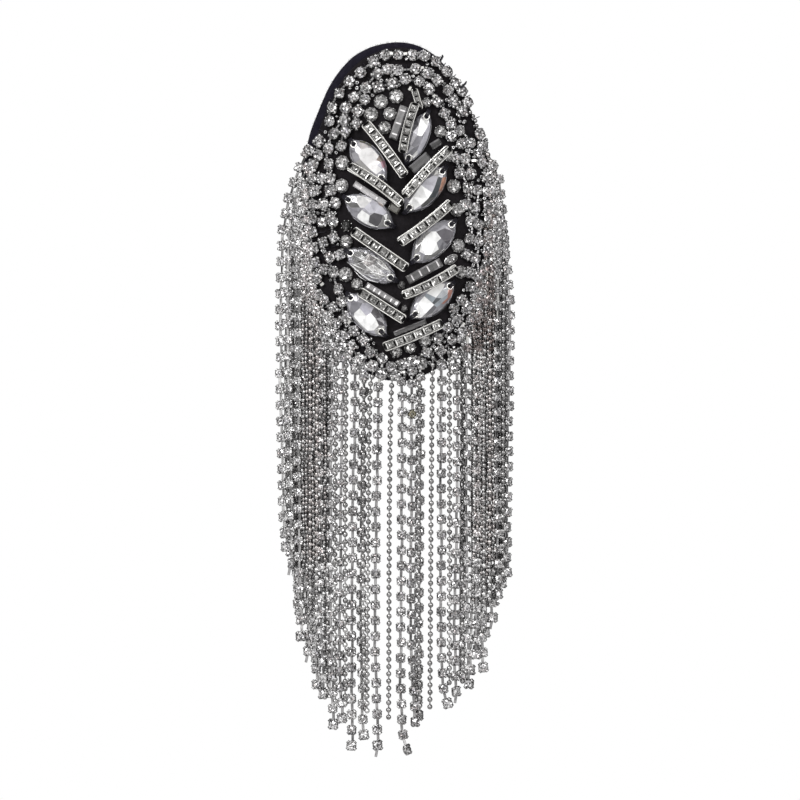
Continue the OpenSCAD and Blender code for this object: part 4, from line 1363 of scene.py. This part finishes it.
def baguette(l, w, tone, cells, rng):
    """A glass bar: bevelled round its top, its length divided where light crosses it. Its faces carry painted tones in
    place of reflections: the narrow divisions white as highlights, the bevels lighter.
    """
    H = 1.88
    bv = min(w * 0.24, 0.5)
    xs = [-l / 2]
    for c in range(cells):
        a, b = -l / 2 + l * c / cells, -l / 2 + l * (c + 1) / cells
        if cells > 1:
            w_s = 0.40
            mid = a + (b - a) * (0.5 + rng.uniform(-0.08, 0.08))
            xs += [mid - w_s / 2, mid + w_s / 2]
        xs.append(b)
    xs = [xs[0], xs[0] + 0.46] + xs[1:-1] + [xs[-1] - 0.46, xs[-1]]
    prof = [(-w / 2 + 0.05, 0.0), (-w / 2, 0.12), (-w / 2, H - bv), (-w / 2 + bv, H), (0.0, H + 0.0), (w / 2 - bv, H), (w / 2, H - bv), (w / 2, 0.12),
            (w / 2 - 0.05, 0.0)]
    V, F, T = [], [], []
    npf = len(prof)
    for i, x in enumerate(xs):
        end = i in (0, len(xs) - 1)
        for (y, z) in prof:
            V.append((x, y, z - (bv * 0.75 if end and z > H - bv - 1e-6 else 0.0)))
    for i in range(len(xs) - 1):
        stripe = cells > 1 and (xs[i + 1] - xs[i]) < 0.45
        for j in range(npf - 1):
            a = i * npf + j
            F.append((a, a + npf, a + npf + 1, a + 1))
            g = tone * rng.uniform(0.8, 1.2)
            # painted highlights: white across the top of each narrow division, lighter on the bevels
            if stripe and 2 <= j <= 5:
                g = 1.0 if (j in (3, 4)) else 0.7
            elif j in (2, 5):
                g = min(1.0, tone * 1.5 + 0.06)
            T.append(g)
        a = i * npf
        F.append((a, a + npf - 1, a + npf + npf - 1, a + npf))
        T.append(tone * 0.5)
    F.append(tuple(range(npf)))
    F.append(tuple(reversed(range((len(xs) - 1) * npf, len(xs) * npf))))
    T += [tone, tone]
    t = np.clip(np.array(T), 0, 1)[:, None] ** 1.7 * np.array([1.0, 0.975, 0.985])
    return Form(V, F, 0, t)


for k, s in enumerate(BAGUETTES):
    rng = np.random.default_rng(150 + k)
    m, l = between(*s[:4], 0.06)
    f = baguette(l, s[4] * PX, s[5], s[6], rng).moved(m)
    make_piece(f"baguette_{k + 1}_cut", f, [GLASS_BAR], [f"baguette_{k + 1}"])

# ================================================================ FRINGE ====
# kind, depth layer, then the strand's run on the chart: u, v pairs from the rim down.
# "c" is rhinestone chain, "b" is ball chain; t adds a loose link at the end
def rim_v(u, grow=0.0):
    a, b = 97.0 + grow, 165.0 + grow
    q = 1 - ((u - 402.0) / a) ** 2
    return 213.5 + b * sqrt(max(q, 0.0))


LEFT = [
    ("c", 0, 0, [(307.0, 149), (298, 166), (292.3, 181), (287.2, 197), (284, 212), (281, 229), (279.3, 262), (278.9, 330), (280, 430), (282.6, 534)]),
    ("c", 0, 1, [(308.5, 163), (300, 179), (294.5, 195), (290, 213), (287.8, 232), (286.8, 262), (286.4, 330), (288, 450), (290.4, 564.5)]),
    ("c", 1, 0, [(309, 176), (301.5, 193), (296.5, 212), (293.5, 238), (292, 300), (292.5, 470), (297.0, 605)]),
    ("c", 0, 0, [(309, 192), (303, 212), (299.5, 238), (298, 280), (297.0, 480), (300.2, 637.5)]),
    ("c", 2, 0, [(309, 184), (300, 208), (292, 244), (285, 292), (283.8, 400), (285, 548)]),
    ("c", 2, 0, [(309, 170), (301, 186), (294, 206), (289.5, 236), (288.5, 320), (289.5, 553)]),
    ("c", 1, 0, [(309, 210), (304, 235), (302.6, 300), (302.2, 480), (304.5, 619)]),
    ("c", 2, 0, [(309, 222), (305, 250), (304.8, 320), (305, 480), (305.2, 598)]),
    ("c", 1, 1, [(309, 243), (307.6, 320), (307.4, 480), (307.6, 652.4)]),
    ("c", 2, 0, [(311, 266), (310, 330), (309.8, 480), (310.3, 643)]),
    ("c", 1, 0, [(312.6, 285), (312.4, 480), (312.8, 600), (316.4, 685.8)]),
    ("c", 2, 0, [(315.4, 0), (314.9, 480), (315.8, 660)]),
    ("c", 0, 0, [(320.6, 0), (319.5, 480), (319.8, 600), (322.3, 694.8)]),
    ("c", 1, 0, [(326.4, 0), (325.4, 480), (327.2, 600), (329.5, 694)]),
    ("c", 2, 0, [(326.4, 0), (327.0, 480), (326.8, 668)]),
    ("c", 0, 0, [(333.6, 0), (330.8, 480), (330.4, 620), (332.6, 725)]),
    ("c", 0, 0, [(342.4, 0), (341, 480), (339.8, 640), (341.8, 719)]),
    ("c", 2, 0, [(307, 190), (299, 220), (296.4, 262), (295.4, 320), (297.2, 612)]),
    ("f", 0, 0, [(309, 226), (304.6, 252), (302.8, 330), (303.0, 480), (303.4, 566)]),
    ("f", 0, 0, [(310.4, 244), (307.2, 280), (306.4, 340), (306.2, 480), (306.4, 578)]),
    ("b", 0, 0, [(311, 262), (310.0, 330), (309.8, 480), (309.8, 604)]),
    ("f", 0, 0, [(313.4, 280), (313.0, 330), (312.8, 480), (312.6, 570)]),
    ("f", 1, 0, [(301.0, 240), (298.6, 330), (299.0, 480), (299.6, 545)]),
    ("f", 1, 0, [(320.6, 0), (321.0, 480), (321.0, 585)]),
    ("b", 0, 0, [(317.0, 0), (316.4, 480), (316.2, 622)]),
    ("f", 1, 0, [(302, 262), (299.4, 330), (299.6, 480), (300.2, 560)]),
    ("f", 1, 0, [(314.8, 0), (314.6, 480), (314.6, 585)]),
    ("f", 0, 0, [(325.2, 0), (324.6, 480), (324.6, 572)]),
    ("b", 1, 0, [(322.6, 0), (322.2, 480), (323.0, 590)]),
    ("b", 1, 0, [(328.6, 0), (327.8, 480), (327, 690)]),
    ("b", 0, 0, [(336.8, 0), (335.0, 480), (335.2, 702)]),
    ("b", 0, 0, [(346.4, 0), (345.3, 480), (345.0, 704)]),
]
MIDDLE_LEFT = [
    ("c", 0, 0, [(355.4, 0), (353.4, 480), (350.9, 640), (351.5, 746.2)]),
    ("c", 1, 0, [(363.8, 0), (361.8, 480), (361.4, 620), (363.5, 735.7)]),
    ("b", 0, 0, [(364.2, 0), (363.2, 480), (363.4, 620), (365.3, 709)]),
    ("b", 0, 0, [(373.2, 370), (372.0, 378), (370.4, 386), (368.6, 480), (366.9, 711)]),
    ("c", 0, 1, [(381.4, 370.6), (378.4, 388), (376.4, 480), (375.2, 640), (377.8, 745.4)]),
]
CENTRE = [
    ("c", 0, 0, [(400.6, 375), (402.4, 394), (401.8, 480), (400.9, 640), (401.5, 704), (403.0, 734), (407.7, 749.5)]),
    ("c", 0, 0, [(412.4, 0), (412.2, 480), (411.9, 640), (415.8, 721.7)]),
    ("c", 1, 0, [(420.8, 0), (419.8, 480), (418.6, 640), (418.4, 716)]),
    ("b", 0, 0, [(419.8, 0), (419.0, 480), (419.0, 640), (420.0, 713)]),
]
BALL_LEFT = [("b", 0, 0, [(394.0, 369.5), (392.4, 379), (391.4, 387), (389.6, 480), (388.6, 717.2)])]
BALL_RIGHT = [("b", 0, 0, [(433.2, 351), (432.4, 372), (431.4, 480), (429.9, 707)])]
MIDDLE_RIGHT = [
    ("c", 0, 0, [(441.6, 358), (442.2, 380), (441.8, 480), (441.6, 640), (442.7, 673.6), (444, 689.4), (447.3, 703.8)]),
    ("b", 0, 0, [(448.6, 348), (449.2, 366), (449.7, 480), (449.4, 683)]),
    ("c", 0, 1, [(454.4, 348), (457.2, 369), (457.2, 480), (455.2, 640), (456.7, 692)]),
    ("b", 1, 0, [(461.5, 328), (463.0, 352), (463.3, 480), (462.6, 682)]),
    ("c", 1, 0, [(460.4, 330), (462.6, 352), (463.2, 380), (462.8, 480), (461.8, 676)]),
    ("c", 0, 0, [(466.5, 320), (467.4, 345), (467.4, 380), (467.4, 480), (468, 600), (469, 684.6)]),
]
RIGHT = [
    ("c", 1, 0, [(471.8, 308), (473.4, 340), (473.4, 480), (472.2, 600), (471, 671)]),
    ("c", 0, 0, [(476.6, 294), (477.6, 325), (477.4, 480), (476.4, 655)]),
    ("c", 2, 0, [(479, 280), (480, 320), (479.8, 480), (478.5, 651)]),
    ("c", 1, 0, [(483.5, 262), (484.6, 300), (483.6, 480), (482.6, 600), (483.6, 668.8)]),
    ("c", 2, 0, [(487, 246), (488, 290), (487.9, 480), (487.5, 634)]),
    ("c", 1, 1, [(489.6, 196), (491.2, 240), (492.0, 400), (491.6, 520), (493.3, 618.7)]),
    ("c", 2, 0, [(494, 190), (496.2, 212), (496.4, 240), (496.2, 420), (495.8, 602)]),
    ("c", 0, 0, [(491, 200), (496.0, 222), (498.0, 246), (498.0, 330), (498.2, 480), (499.7, 594.7)]),
    ("c", 2, 0, [(491.5, 172), (496.6, 190), (500.2, 214), (501.6, 240), (502.0, 280), (502, 420), (502.8, 584)]),
    ("c", 1, 0, [(492, 182), (498.6, 206), (502.6, 234), (504.4, 270), (504.6, 400), (504.6, 566)]),
    ("c", 0, 0, [(487.5, 152), (494.6, 167.3), (500.0, 179.8), (500.8, 193.8), (502.4, 208), (503.8, 224), (505.2, 244), (507.5, 266), (509.2, 283),
                 (510.8, 300), (509.8, 420), (507.6, 573.4)]),
    ("b", 0, 0, [(484.5, 200), (485.6, 214), (485.9, 300), (484.4, 400), (484.2, 602)]),
    ("b", 0, 0, [(488.5, 206), (490.6, 226), (490.4, 400), (489.8, 600)]),
    ("f", 0, 0, [(482.4, 292), (483.3, 330), (483.2, 540)]),
    ("f", 0, 0, [(478.4, 296), (479.0, 330), (478.6, 560)]),
    ("f", 0, 0, [(481.0, 270), (481.6, 300), (481.0, 400), (480.8, 590)]),
    ("f", 0, 0, [(486.6, 230), (488.0, 262), (487.6, 400), (487.0, 575)]),
    ("f", 0, 0, [(489.8, 206), (493.4, 236), (493.6, 400), (493.2, 560)]),
    ("f", 1, 0, [(474.8, 300), (475.6, 330), (475.6, 400), (474.8, 600)]),
    ("f", 1, 0, [(484.6, 240), (486.0, 270), (486.2, 400), (485.6, 590)]),
    ("f", 0, 0, [(473.4, 306), (474.0, 330), (473.8, 400), (473.8, 600)]),
    ("b", 1, 0, [(489, 190), (493.4, 210), (494.8, 240), (494.6, 400), (494.8, 596)]),
    ("b", 0, 0, [(484, 147.5), (488.4, 154.6), (490.9, 160.2), (494.6, 170), (497.2, 184), (499, 198), (503.6, 220), (506.4, 231), (507.4, 240),
                 (507.4, 256), (504.6, 290), (503.8, 400), (503.6, 575)]),
    ("b", 1, 0, [(498, 196), (500.6, 230), (500.8, 330), (500.6, 560)]),
    ("b", 1, 0, [(477, 290), (479.6, 320), (479.6, 400), (480.2, 640)]),
]


def smooth_run(points, step=0.4):
    p = np.array(points, float)
    out = []
    for i in range(len(p) - 1):
        a = p[max(i - 1, 0)]
        b, c = p[i], p[i + 1]
        d = p[min(i + 2, len(p) - 1)]
        n = max(2, int(np.linalg.norm(c - b) / step))
        lb = np.linalg.norm(c - b)
        m1 = (c - a) / max(np.linalg.norm(c - b) + np.linalg.norm(b - a), 1e-6) * lb
        m2 = (d - b) / max(np.linalg.norm(d - c) + np.linalg.norm(c - b), 1e-6) * lb
        for t in np.arange(n) / n:
            h = (2 * t ** 3 - 3 * t ** 2 + 1, t ** 3 - 2 * t ** 2 + t, -2 * t ** 3 + 3 * t ** 2, t ** 3 - t ** 2)
            out.append(h[0] * b + h[1] * m1 + h[2] * c + h[3] * m2)
    out.append(p[-1])
    return np.array(out)


LAYER = (1.32, 2.95, 4.40)
BACK_CAP = (2.2, 2.9, 3.35)
# the chain's pitch in chart units grows a little towards the left
CUP_PITCH = ((279, 300, 342, 378, 402, 442, 457, 498), (16.10, 16.05, 15.70, 15.58, 15.37, 15.42, 15.36, 15.22))
BEAD_PITCH = ((345, 369, 391, 432, 449), (7.36, 7.26, 7.20, 7.28, 7.18))


def board_inside(u, v, grow):
    return ((u - 398.0) / (100.0 + grow)) ** 2 + ((v - 211.3) / (170.0 + grow)) ** 2


def strand_point(u, v, layer, sway=0.0):
    x, z = gx(u), gz(v)
    r = FRINGE_R - LAYER[layer]
    y = min(FRINGE_Y - sqrt(r * r - x * x) + sway, BACK_CAP[layer])
    # over the felt's rim the strand lies in front of the felt
    q = board_inside(u, v, 2.0)
    if q < 1.5:
        front = face_y(min(max(x, -34.0), 34.0)) - 1.12 - 0.25 * layer
        k = np.clip((1.22 - q) / 0.22, 0, 1)
        k = k * k * (3 - 2 * k)
        y = y * (1 - k) + min(front, y) * k
    return np.array([x, y, z])


def strand(kind, layer, tail, run, rng):
    if run[0][1] == 0:
        run = [(run[0][0], rim_v(run[0][0]) - 1.0)] + run[1:]
    path = smooth_run(run)
    d = np.hypot(*np.diff(path, axis=0).T)
    s = np.concatenate([[0], np.cumsum(d)])
    # the chain is counted up from its lower end
    step = 4.15 if kind == "f" else float(np.interp(run[-1][0], *(CUP_PITCH if kind == "c" else BEAD_PITCH)))
    count = int(s[-1] / step) + 1
    at = s[-1] - np.arange(count)[::-1] * step
    u = np.interp(at, s, path[:, 0])
    v = np.interp(at, s, path[:, 1])
    phase = rng.random(3) * 6.28
    u = u + rng.normal(0, {"c": 0.22, "b": 0.10, "f": 0.34}[kind], count)
    if kind == "f":
        u = u + 0.65 * np.sin(v / 23.0 + phase[2]) + 0.4 * np.sin(v / 9.0 + phase[1])
    sway = 0.16 * np.sin(v / 55.0 + phase[0])
    P = np.array([strand_point(a, b, layer, w) for a, b, w in zip(u, v, sway)])
    parts = []
    yaw = rng.normal(0, 0.16) + 0.22 * np.sin(v / 90.0 + phase[1]) + rng.normal(0, 0.13, count)
    for i in range(count):
        a, b = P[max(i - 1, 0)], P[min(i + 1, count - 1)]
        up = (a - b) / np.linalg.norm(a - b)
        x = P[i][0]
        r = FRINGE_R
        out = np.array([x / r, -sqrt(1 - (x / r) ** 2), 0.0])
        out = out - up * (out @ up)
        out /= np.linalg.norm(out)
        right = np.cross(up, out)
        c, sn = cos(yaw[i]), sin(yaw[i])
        o2 = out * c + right * sn
        r2 = np.cross(up, o2)
        roll = rng.normal(0, 0.05)
        up2 = up * cos(roll) + r2 * sin(roll)
        r3 = np.cross(up2, o2)
        m = np.eye(4)
        m[:3, :3] = np.stack([r3, up2, o2], axis=1)
        m[:3, 3] = P[i]
        if kind == "c":
            m[:3, :3] *= rng.uniform(0.97, 1.02)
            # painted shade: a warm tint on the cups among the dense strands
            dense = 302 < u[i] < 321 or 475 < u[i] < 493
            tint = (0.97, 0.93, 0.92) if dense and v[i] < 560 else None
            last = i == count - 1
            if last:
                turn = 0.45 if rng.random() < 0.5 else -0.4
                m[:3, :3] = m[:3, :3] @ np.array([[cos(turn), 0, sin(turn)], [0, 1, 0], [-sin(turn), 0, cos(turn)]]) * 1.04
            loose = 368 < u[i] < 440 or 337 < u[i] < 465 and v[i] < 690
            # painted light and shade by zone in the stones' tones: lightest at the outer left and at the free lower
            # ends, lighter on the crowded and the back strands than on the open front ones, and a little lighter on
            # each strand's last cup; the next number is the share of cups drawn as the lit copy with the lighter silver
            # wall
            light = 1.70 if u[i] < 301 or v[i] > 560 and not loose else 1.3 if loose and layer else 0.94 if loose and u[i] < 368 else 1.0 if loose else 1.35
            lit_share = 1.0 if u[i] < 301 else 0.1 if loose else 0.6
            if abs(u[i] - 412.3) < 1.5 and 407 < v[i] < 422.6:
                light, tint, lit_share = 0.42, (1.0, 0.94, 0.66), 0.0
            # painted shade: the cups in the dark zone at the right are painted darker and warmer, with no lit copies
            if 466 < u[i] < 494 and 215 < v[i] < 350:
                light, tint, lit_share = 0.68, (1.0, 0.89, 0.86), 0.0
            parts.append(cup_at(m, rng, tint, light * rng.uniform(0.85, 1.08) * (1.2 if last else 1.0), last, LIT_CUPS if rng.random() < lit_share else None))
        # painted shade: most beads in that dark zone take the deep shade copy
        elif 466 < u[i] < 494 and 215 < v[i] < 350 and rng.random() < 0.7:
            parts.append(DEEP_BEADS[int(kind == "f")].moved(m))
        elif kind == "f":
            parts.append(FINE_BEADS[int(rng.integers(0, 3))].moved(m))
        else:
            dense = 302 < u[i] < 321 or 475 < u[i] < 483 or 487 < u[i] < 493
            # painted light: beads near the free lower ends are often the lit copy in lighter silver; beads among the
            # dense strands take the warm copy painted for their shade
            low = v[i] > 545 and not 368 < u[i] < 440 and rng.random() < 0.6
            parts.append((BROWN_BEAD if dense and v[i] < 560 else LIT_BEAD if low else BEAD).moved(m))
    # above the first cup or bead one more link goes up to where the chain is sewn down
    top = strand_point(u[0] + (u[0] - u[1]) * 0.5, v[0] - step * (0.6 if kind == "c" else 1.0), layer)
    for i in range(-1, count - 1):
        a, b = (P[i], P[i + 1]) if i >= 0 else (top, P[0])
        gap = np.linalg.norm(a - b)
        up = (a - b) / gap
        x = (a[0] + b[0]) / 2
        out = np.array([x / FRINGE_R, -sqrt(1 - (x / FRINGE_R) ** 2), 0.0])
        out -= up * (out @ up)
        out /= np.linalg.norm(out)
        c, sn = cos(yaw[i]), sin(yaw[i])
        out = out * c + np.cross(up, out) * sn
        m = np.eye(4)
        m[:3, :3] = np.stack([np.cross(up, out), up, out], axis=1)
        m[:3, 3] = (a + b) / 2
        if kind == "c" and i < 0:
            lk = link_form(gap - 1.0)
            lk.mat = np.full(len(lk.sizes), 0)
            m[:3, 3] = a + (b - a) * 0.42
            parts.append(lk.moved(m))
        elif kind == "c":
            # painted highlight: links over the felt, and in one strand at the right, are drawn in the brightest rail
            # silver
            shine = v[i] < rim_v(u[i]) - 2 if abs(u[i] - 402) < 90 else abs(u[i] - 498.0) < 1.6 and v[i] < 320
            if shine:
                parts.append(Form.join([link_form(gap - 1.9, 0.86, 0.3, 0.0)]).moved(m))
                parts[-1].mat = np.full(len(parts[-1].sizes), 7)
            else:
                lk = link_form(gap - 1.7)
                # painted light: links at the outer left and low in the back layers take the lighter silver
                if u[i] < 301 or v[i] > 540 and layer > 0:
                    lk.mat = np.full(len(lk.sizes), 0)
                parts.append(lk.moved(m))
        else:
            w = WIRE.moved(np.diag([0.7 if kind == "f" else 1.0, gap, 0.7 if kind == "f" else 1.0, 1]))
            parts.append(w.moved(m))
    if tail and kind == "c":
        a, b = P[-2], P[-1]
        up = (a - b) / np.linalg.norm(a - b)
        lean = np.array([0.22 * rng.choice([-1, 1]), 0, 0])
        up = up + lean
        up /= np.linalg.norm(up)
        out = np.array([0.0, -1.0, 0.0])
        out -= up * (out @ up)
        out /= np.linalg.norm(out)
        m = np.eye(4)
        m[:3, :3] = np.stack([np.cross(up, out), up, out], axis=1)
        m[:3, 3] = P[-1] - up * 2.35
        parts.append(link_form(2.5).moved(m))
    return parts


def bundle(name, strands, seed, replaced=()):
    rng = np.random.default_rng(seed)
    parts = []
    for kind, layer, tail, run in strands:
        parts += strand(kind, layer, tail, run, rng)
    f = Form.join(parts)
    make_piece(name, f, CHAIN_MATS, replaced)
    return f.tris()


bundle("fringe_left_front", [q for q in LEFT if q[1] == 0], 201, ["fringe_left"])
bundle("fringe_left_back", [q for q in LEFT if q[1] > 0], 211)
bundle("fringe_middle_left_strands", MIDDLE_LEFT, 202, ["fringe_middle_left"])
bundle("ball_strand_left_beads", BALL_LEFT, 203, ["ball_strand_left"])
bundle("fringe_centre_strands", CENTRE, 204, ["fringe_centre"])
bundle("ball_strand_right_beads", BALL_RIGHT, 205, ["ball_strand_right"])
bundle("fringe_middle_right_strands", MIDDLE_RIGHT, 206, ["fringe_middle_right"])
bundle("fringe_right_front", [q for q in RIGHT if q[1] == 0], 207, ["fringe_right"])
bundle("fringe_right_back", [q for q in RIGHT if q[1] > 0], 217)

# ================================================================ THREAD ====
make_piece("sewing_thread", Form.join(thread_parts), [THREAD])

# =================================================================== PIN ====
# plate against the felt, two ears and a rivet at the top, a safety catch at the bottom, and a wire that
# tapers to its point; the wire's line is the origin
PIN_L, PLATE_Y = 36.0, -4.14


def round_plate(l, w, y0, y1, n=12):
    out = []
    for side in (1, -1):
        for k in range(n + 1):
            t = pi * k / n
            out.append((w / 2 * cos(t) * side, side * (l / 2 - w / 2) + side * w / 2 * sin(t)))
    rings = [[(x, y0, z) for x, z in out], [(x, y1 - 0.12, z) for x, z in out], [(x * 0.93, y1, z * 0.995) for x, z in out]]
    return loft(rings, 0, smooth=False)


def rod(a, b, r0, r1, sides=16):
    return tube([a, b], [r0, r1], sides, 0)


pin_parts = [round_plate(PIN_L, 5.0, PLATE_Y, PLATE_Y + 0.62)]
for x0 in (-1.55, 1.15):
    # an ear: a thin strip that narrows upwards to the rivet
    prof = [(15.5 - 1.6, PLATE_Y + 0.5), (15.5 + 1.6, PLATE_Y + 0.5), (15.5 + 1.0, -0.4), (15.5 + 0.75, 0.45), (15.5, 0.80), (15.5 - 0.75, 0.45), (15.5 - 1.0, -0.4)]
    pin_parts.append(loft([[(x0, y, z) for z, y in prof], [(x0 + 0.4, y, z) for z, y in prof]], 0))
pin_parts.append(rod((-1.75, 0.0, 15.5), (1.75, 0.0, 15.5), 0.42, 0.42))
for x0 in (-1.85, 1.60):
    pin_parts.append(rod((x0, 0.0, 15.5), (x0 + 0.25, 0.0, 15.5), 0.62, 0.50))
coil = [(0.42 * (k / 20.0 - 1.0), 0.66 * sin(k * 2 * pi / 10), 15.5 + 0.66 * cos(k * 2 * pi / 10)) for k in range(0, 41)]
pin_parts.append(tube(coil, 0.24, 8, 0))
pin_parts.append(tube([(0, 0.0, 15.1), (0, 0.0, 10.0), (0, 0.05, 0.0), (0, 0.03, -10.0), (0, 0.0, -14.2), (0, 0.0, -15.6), (0, 0.0, -16.7)],
                      [0.44, 0.46, 0.46, 0.46, 0.42, 0.28, 0.06], 14, 0))
# the catch: a barrel that is open at one side, on a stem
arc = [radians(-62 + k * 284 / 18.0) for k in range(19)]
outer = [(1.05 * cos(t + 0.6), 1.05 * sin(t + 0.6)) for t in arc]
inner_c = [(0.68 * cos(t + 0.6), 0.68 * sin(t + 0.6)) for t in reversed(arc)]
pin_parts.append(loft([[(x, y, z) for x, y in outer + inner_c] for z in (-17.0, -14.0)], 0))
for z in (-14.7, -16.3):
    pin_parts.append(torus(1.07, 0.10, 20, 6, 0).moved(np.array([[1, 0, 0, 0], [0, 1, 0, 0], [0, 0, 1, z], [0, 0, 0, 1.0]])))
pin_parts.append(loft([[(x, y, z) for x, y in ((-0.9, PLATE_Y + 0.5), (0.9, PLATE_Y + 0.5), (0.55, -0.95), (-0.55, -0.95))] for z in (-16.8, -14.2)], 0))
make_piece("pin_back_set", Form.join(pin_parts), [NICKEL], ["pin_back"])

# stitches on the back: over the pin's plate, and a running stitch that holds the chains
stitches = []


def back_y(x, r=R_BACK_IN):
    return ARCH_Y - sqrt(r * r - x * x)


for z in (-11.5, -10.6, -1.0, 0.0, 1.0, 9.6, 10.6, 11.6):
    stitches.append(tube([(-3.2, back_y(3.2) - 0.05, z - 0.2), (-2.75, back_y(2.75) + 0.35, z - 0.1), (-2.3, PLATE_Y + 0.76, z), (2.3, PLATE_Y + 0.76, z + 0.2),
                          (2.75, back_y(2.75) + 0.35, z + 0.3), (3.2, back_y(3.2) - 0.05, z + 0.3)], 0.16, 6))
rng = np.random.default_rng(77)
for ra, rb, gap_s in ((0.90, 0.94, 3.4), (0.76, 0.84, 3.8), (0.60, 0.72, 4.2)):
    n_s = int(2 * pi * sqrt((100 * PX * ra) ** 2 / 2 + (170 * PX * rb) ** 2 / 2) / gap_s)
    for k in range(n_s):
        t0 = 2 * pi * (k + rng.uniform(-0.1, 0.1)) / n_s
        t1 = t0 + 2 * pi / n_s * 0.62
        pts = []
        for q, lift in ((0.0, -0.10), (0.15, 0.10), (0.5, 0.13), (0.85, 0.10), (1.0, -0.10)):
            t = t0 + (t1 - t0) * q
            x = gx(398) + 100 * PX * ra * cos(t)
            z = gz(211.3) + 170 * PX * rb * sin(t)
            pts.append((x, back_y(x) + lift, z))
        stitches.append(tube(pts, 0.13, 5))
for k, s_m in enumerate(MARQUISES):
    for u, v in ((s_m[0], s_m[1]), (s_m[2], s_m[3])):
        x, z = gx(u), gz(v)
        for j in range(3):
            t = rng.uniform(0, pi)
            dx, dz = 1.3 * cos(t), 1.3 * sin(t)
            stitches.append(tube([(x - dx, back_y(x - dx) - 0.08, z - dz), (x, back_y(x) + 0.16 + 0.1 * j, z), (x + dx, back_y(x + dx) - 0.08, z + dz)], 0.13, 5))
make_piece("back_stitches", Form.join(stitches), [THREAD])

# two loose thread ends at the upper right of the rim
ends = []
for pts in (((439.2, 61.0, 1.4), (440.2, 59.0, 2.4), (441.0, 57.2, 2.8), (440.6, 55.6, 3.1)), ((458.0, 89.0, 1.2), (460.6, 86.2, 2.4), (463.0, 83.6, 2.6), (464.4, 81.4, 2.2))):
    ends.append(tube([on_face(u, v, h)[:3, 3] for u, v, h in pts], [0.30, 0.32, 0.34, 0.20], 7))
make_piece("thread_ends", Form.join(ends), [THREAD])

# a small oval stone between the fifth pointed stone and the ninth bar
rng = np.random.default_rng(91)
oval = brilliant(1.0, 0.55, 1.15, rng, sides=9, table=0.55, star=0.80, dip=0.2, mat=1)
# its facet tones are painted light and dark in place of reflections
oval.tone = np.clip(rng.choice([0.08, 0.26, 0.46, 0.85], p=[0.30, 0.34, 0.24, 0.12], size=len(oval.sizes))[:, None] * np.array([1.0, 0.98, 0.98]), 0, 1)
rim_ring = loft([circle(1.0, 18, 0.0), circle(1.06, 18, 0.2), circle(1.06, 18, 0.62), circle(0.97, 18, 0.70), circle(0.9, 18, 0.5)], 0, smooth=False)
oval = Form.join([rim_ring, oval]).moved(np.diag([2.15, 1.22, 1.0, 1.0]))
make_piece("oval_stone_cut", oval.moved(on_face(450.6, 259.4, 0.06, 0.55)), [SILVER, ROUND_CRYSTAL])

# two small round stones at the inner ends of the eighth and the ninth bar: u, v, radius, brightness of the painted
# facet tones
rng = np.random.default_rng(93)
small = []
for u, v, r, bright in ((401.5, 285.0, 1.10, 0.50), (404.4, 308.4, 0.96, 0.85)):
    stone = brilliant(1.0, 0.45, 1.0, rng, sides=9, table=0.55, star=0.80, dip=0.2, mat=1)
    stone.tone = np.clip(rng.choice([0.10, 0.28, 0.48, 0.90], p=[0.30, 0.34, 0.24, 0.12], size=len(stone.sizes))[:, None] * np.array([1.0, 0.98, 0.98]) * bright, 0, 1)
    ring = loft([circle(1.0, 18, 0.0), circle(1.06, 18, 0.2), circle(1.06, 18, 0.52), circle(0.97, 18, 0.60), circle(0.9, 18, 0.42)], 0, smooth=False)
    small.append(Form.join([ring, stone]).moved(np.diag([r, r, 1.0, 1.0])).moved(on_face(u, v, 0.06)))
make_piece("small_round_stones", Form.join(small), [DARK_SILVER, ROUND_CRYSTAL])

# the end of one more glass bar, which shows between the third bar and the fourth stone
rng = np.random.default_rng(92)
m, l = between(389.6, 205.6, 399.2, 211.6, 0.06)
chip = baguette(l, 7.4 * PX, 0.29, 1, rng)
chip.tone = chip.tone * np.array([1.0, 0.98, 0.86])
make_piece("glass_bar_end", chip.moved(m), [GLASS_BAR])
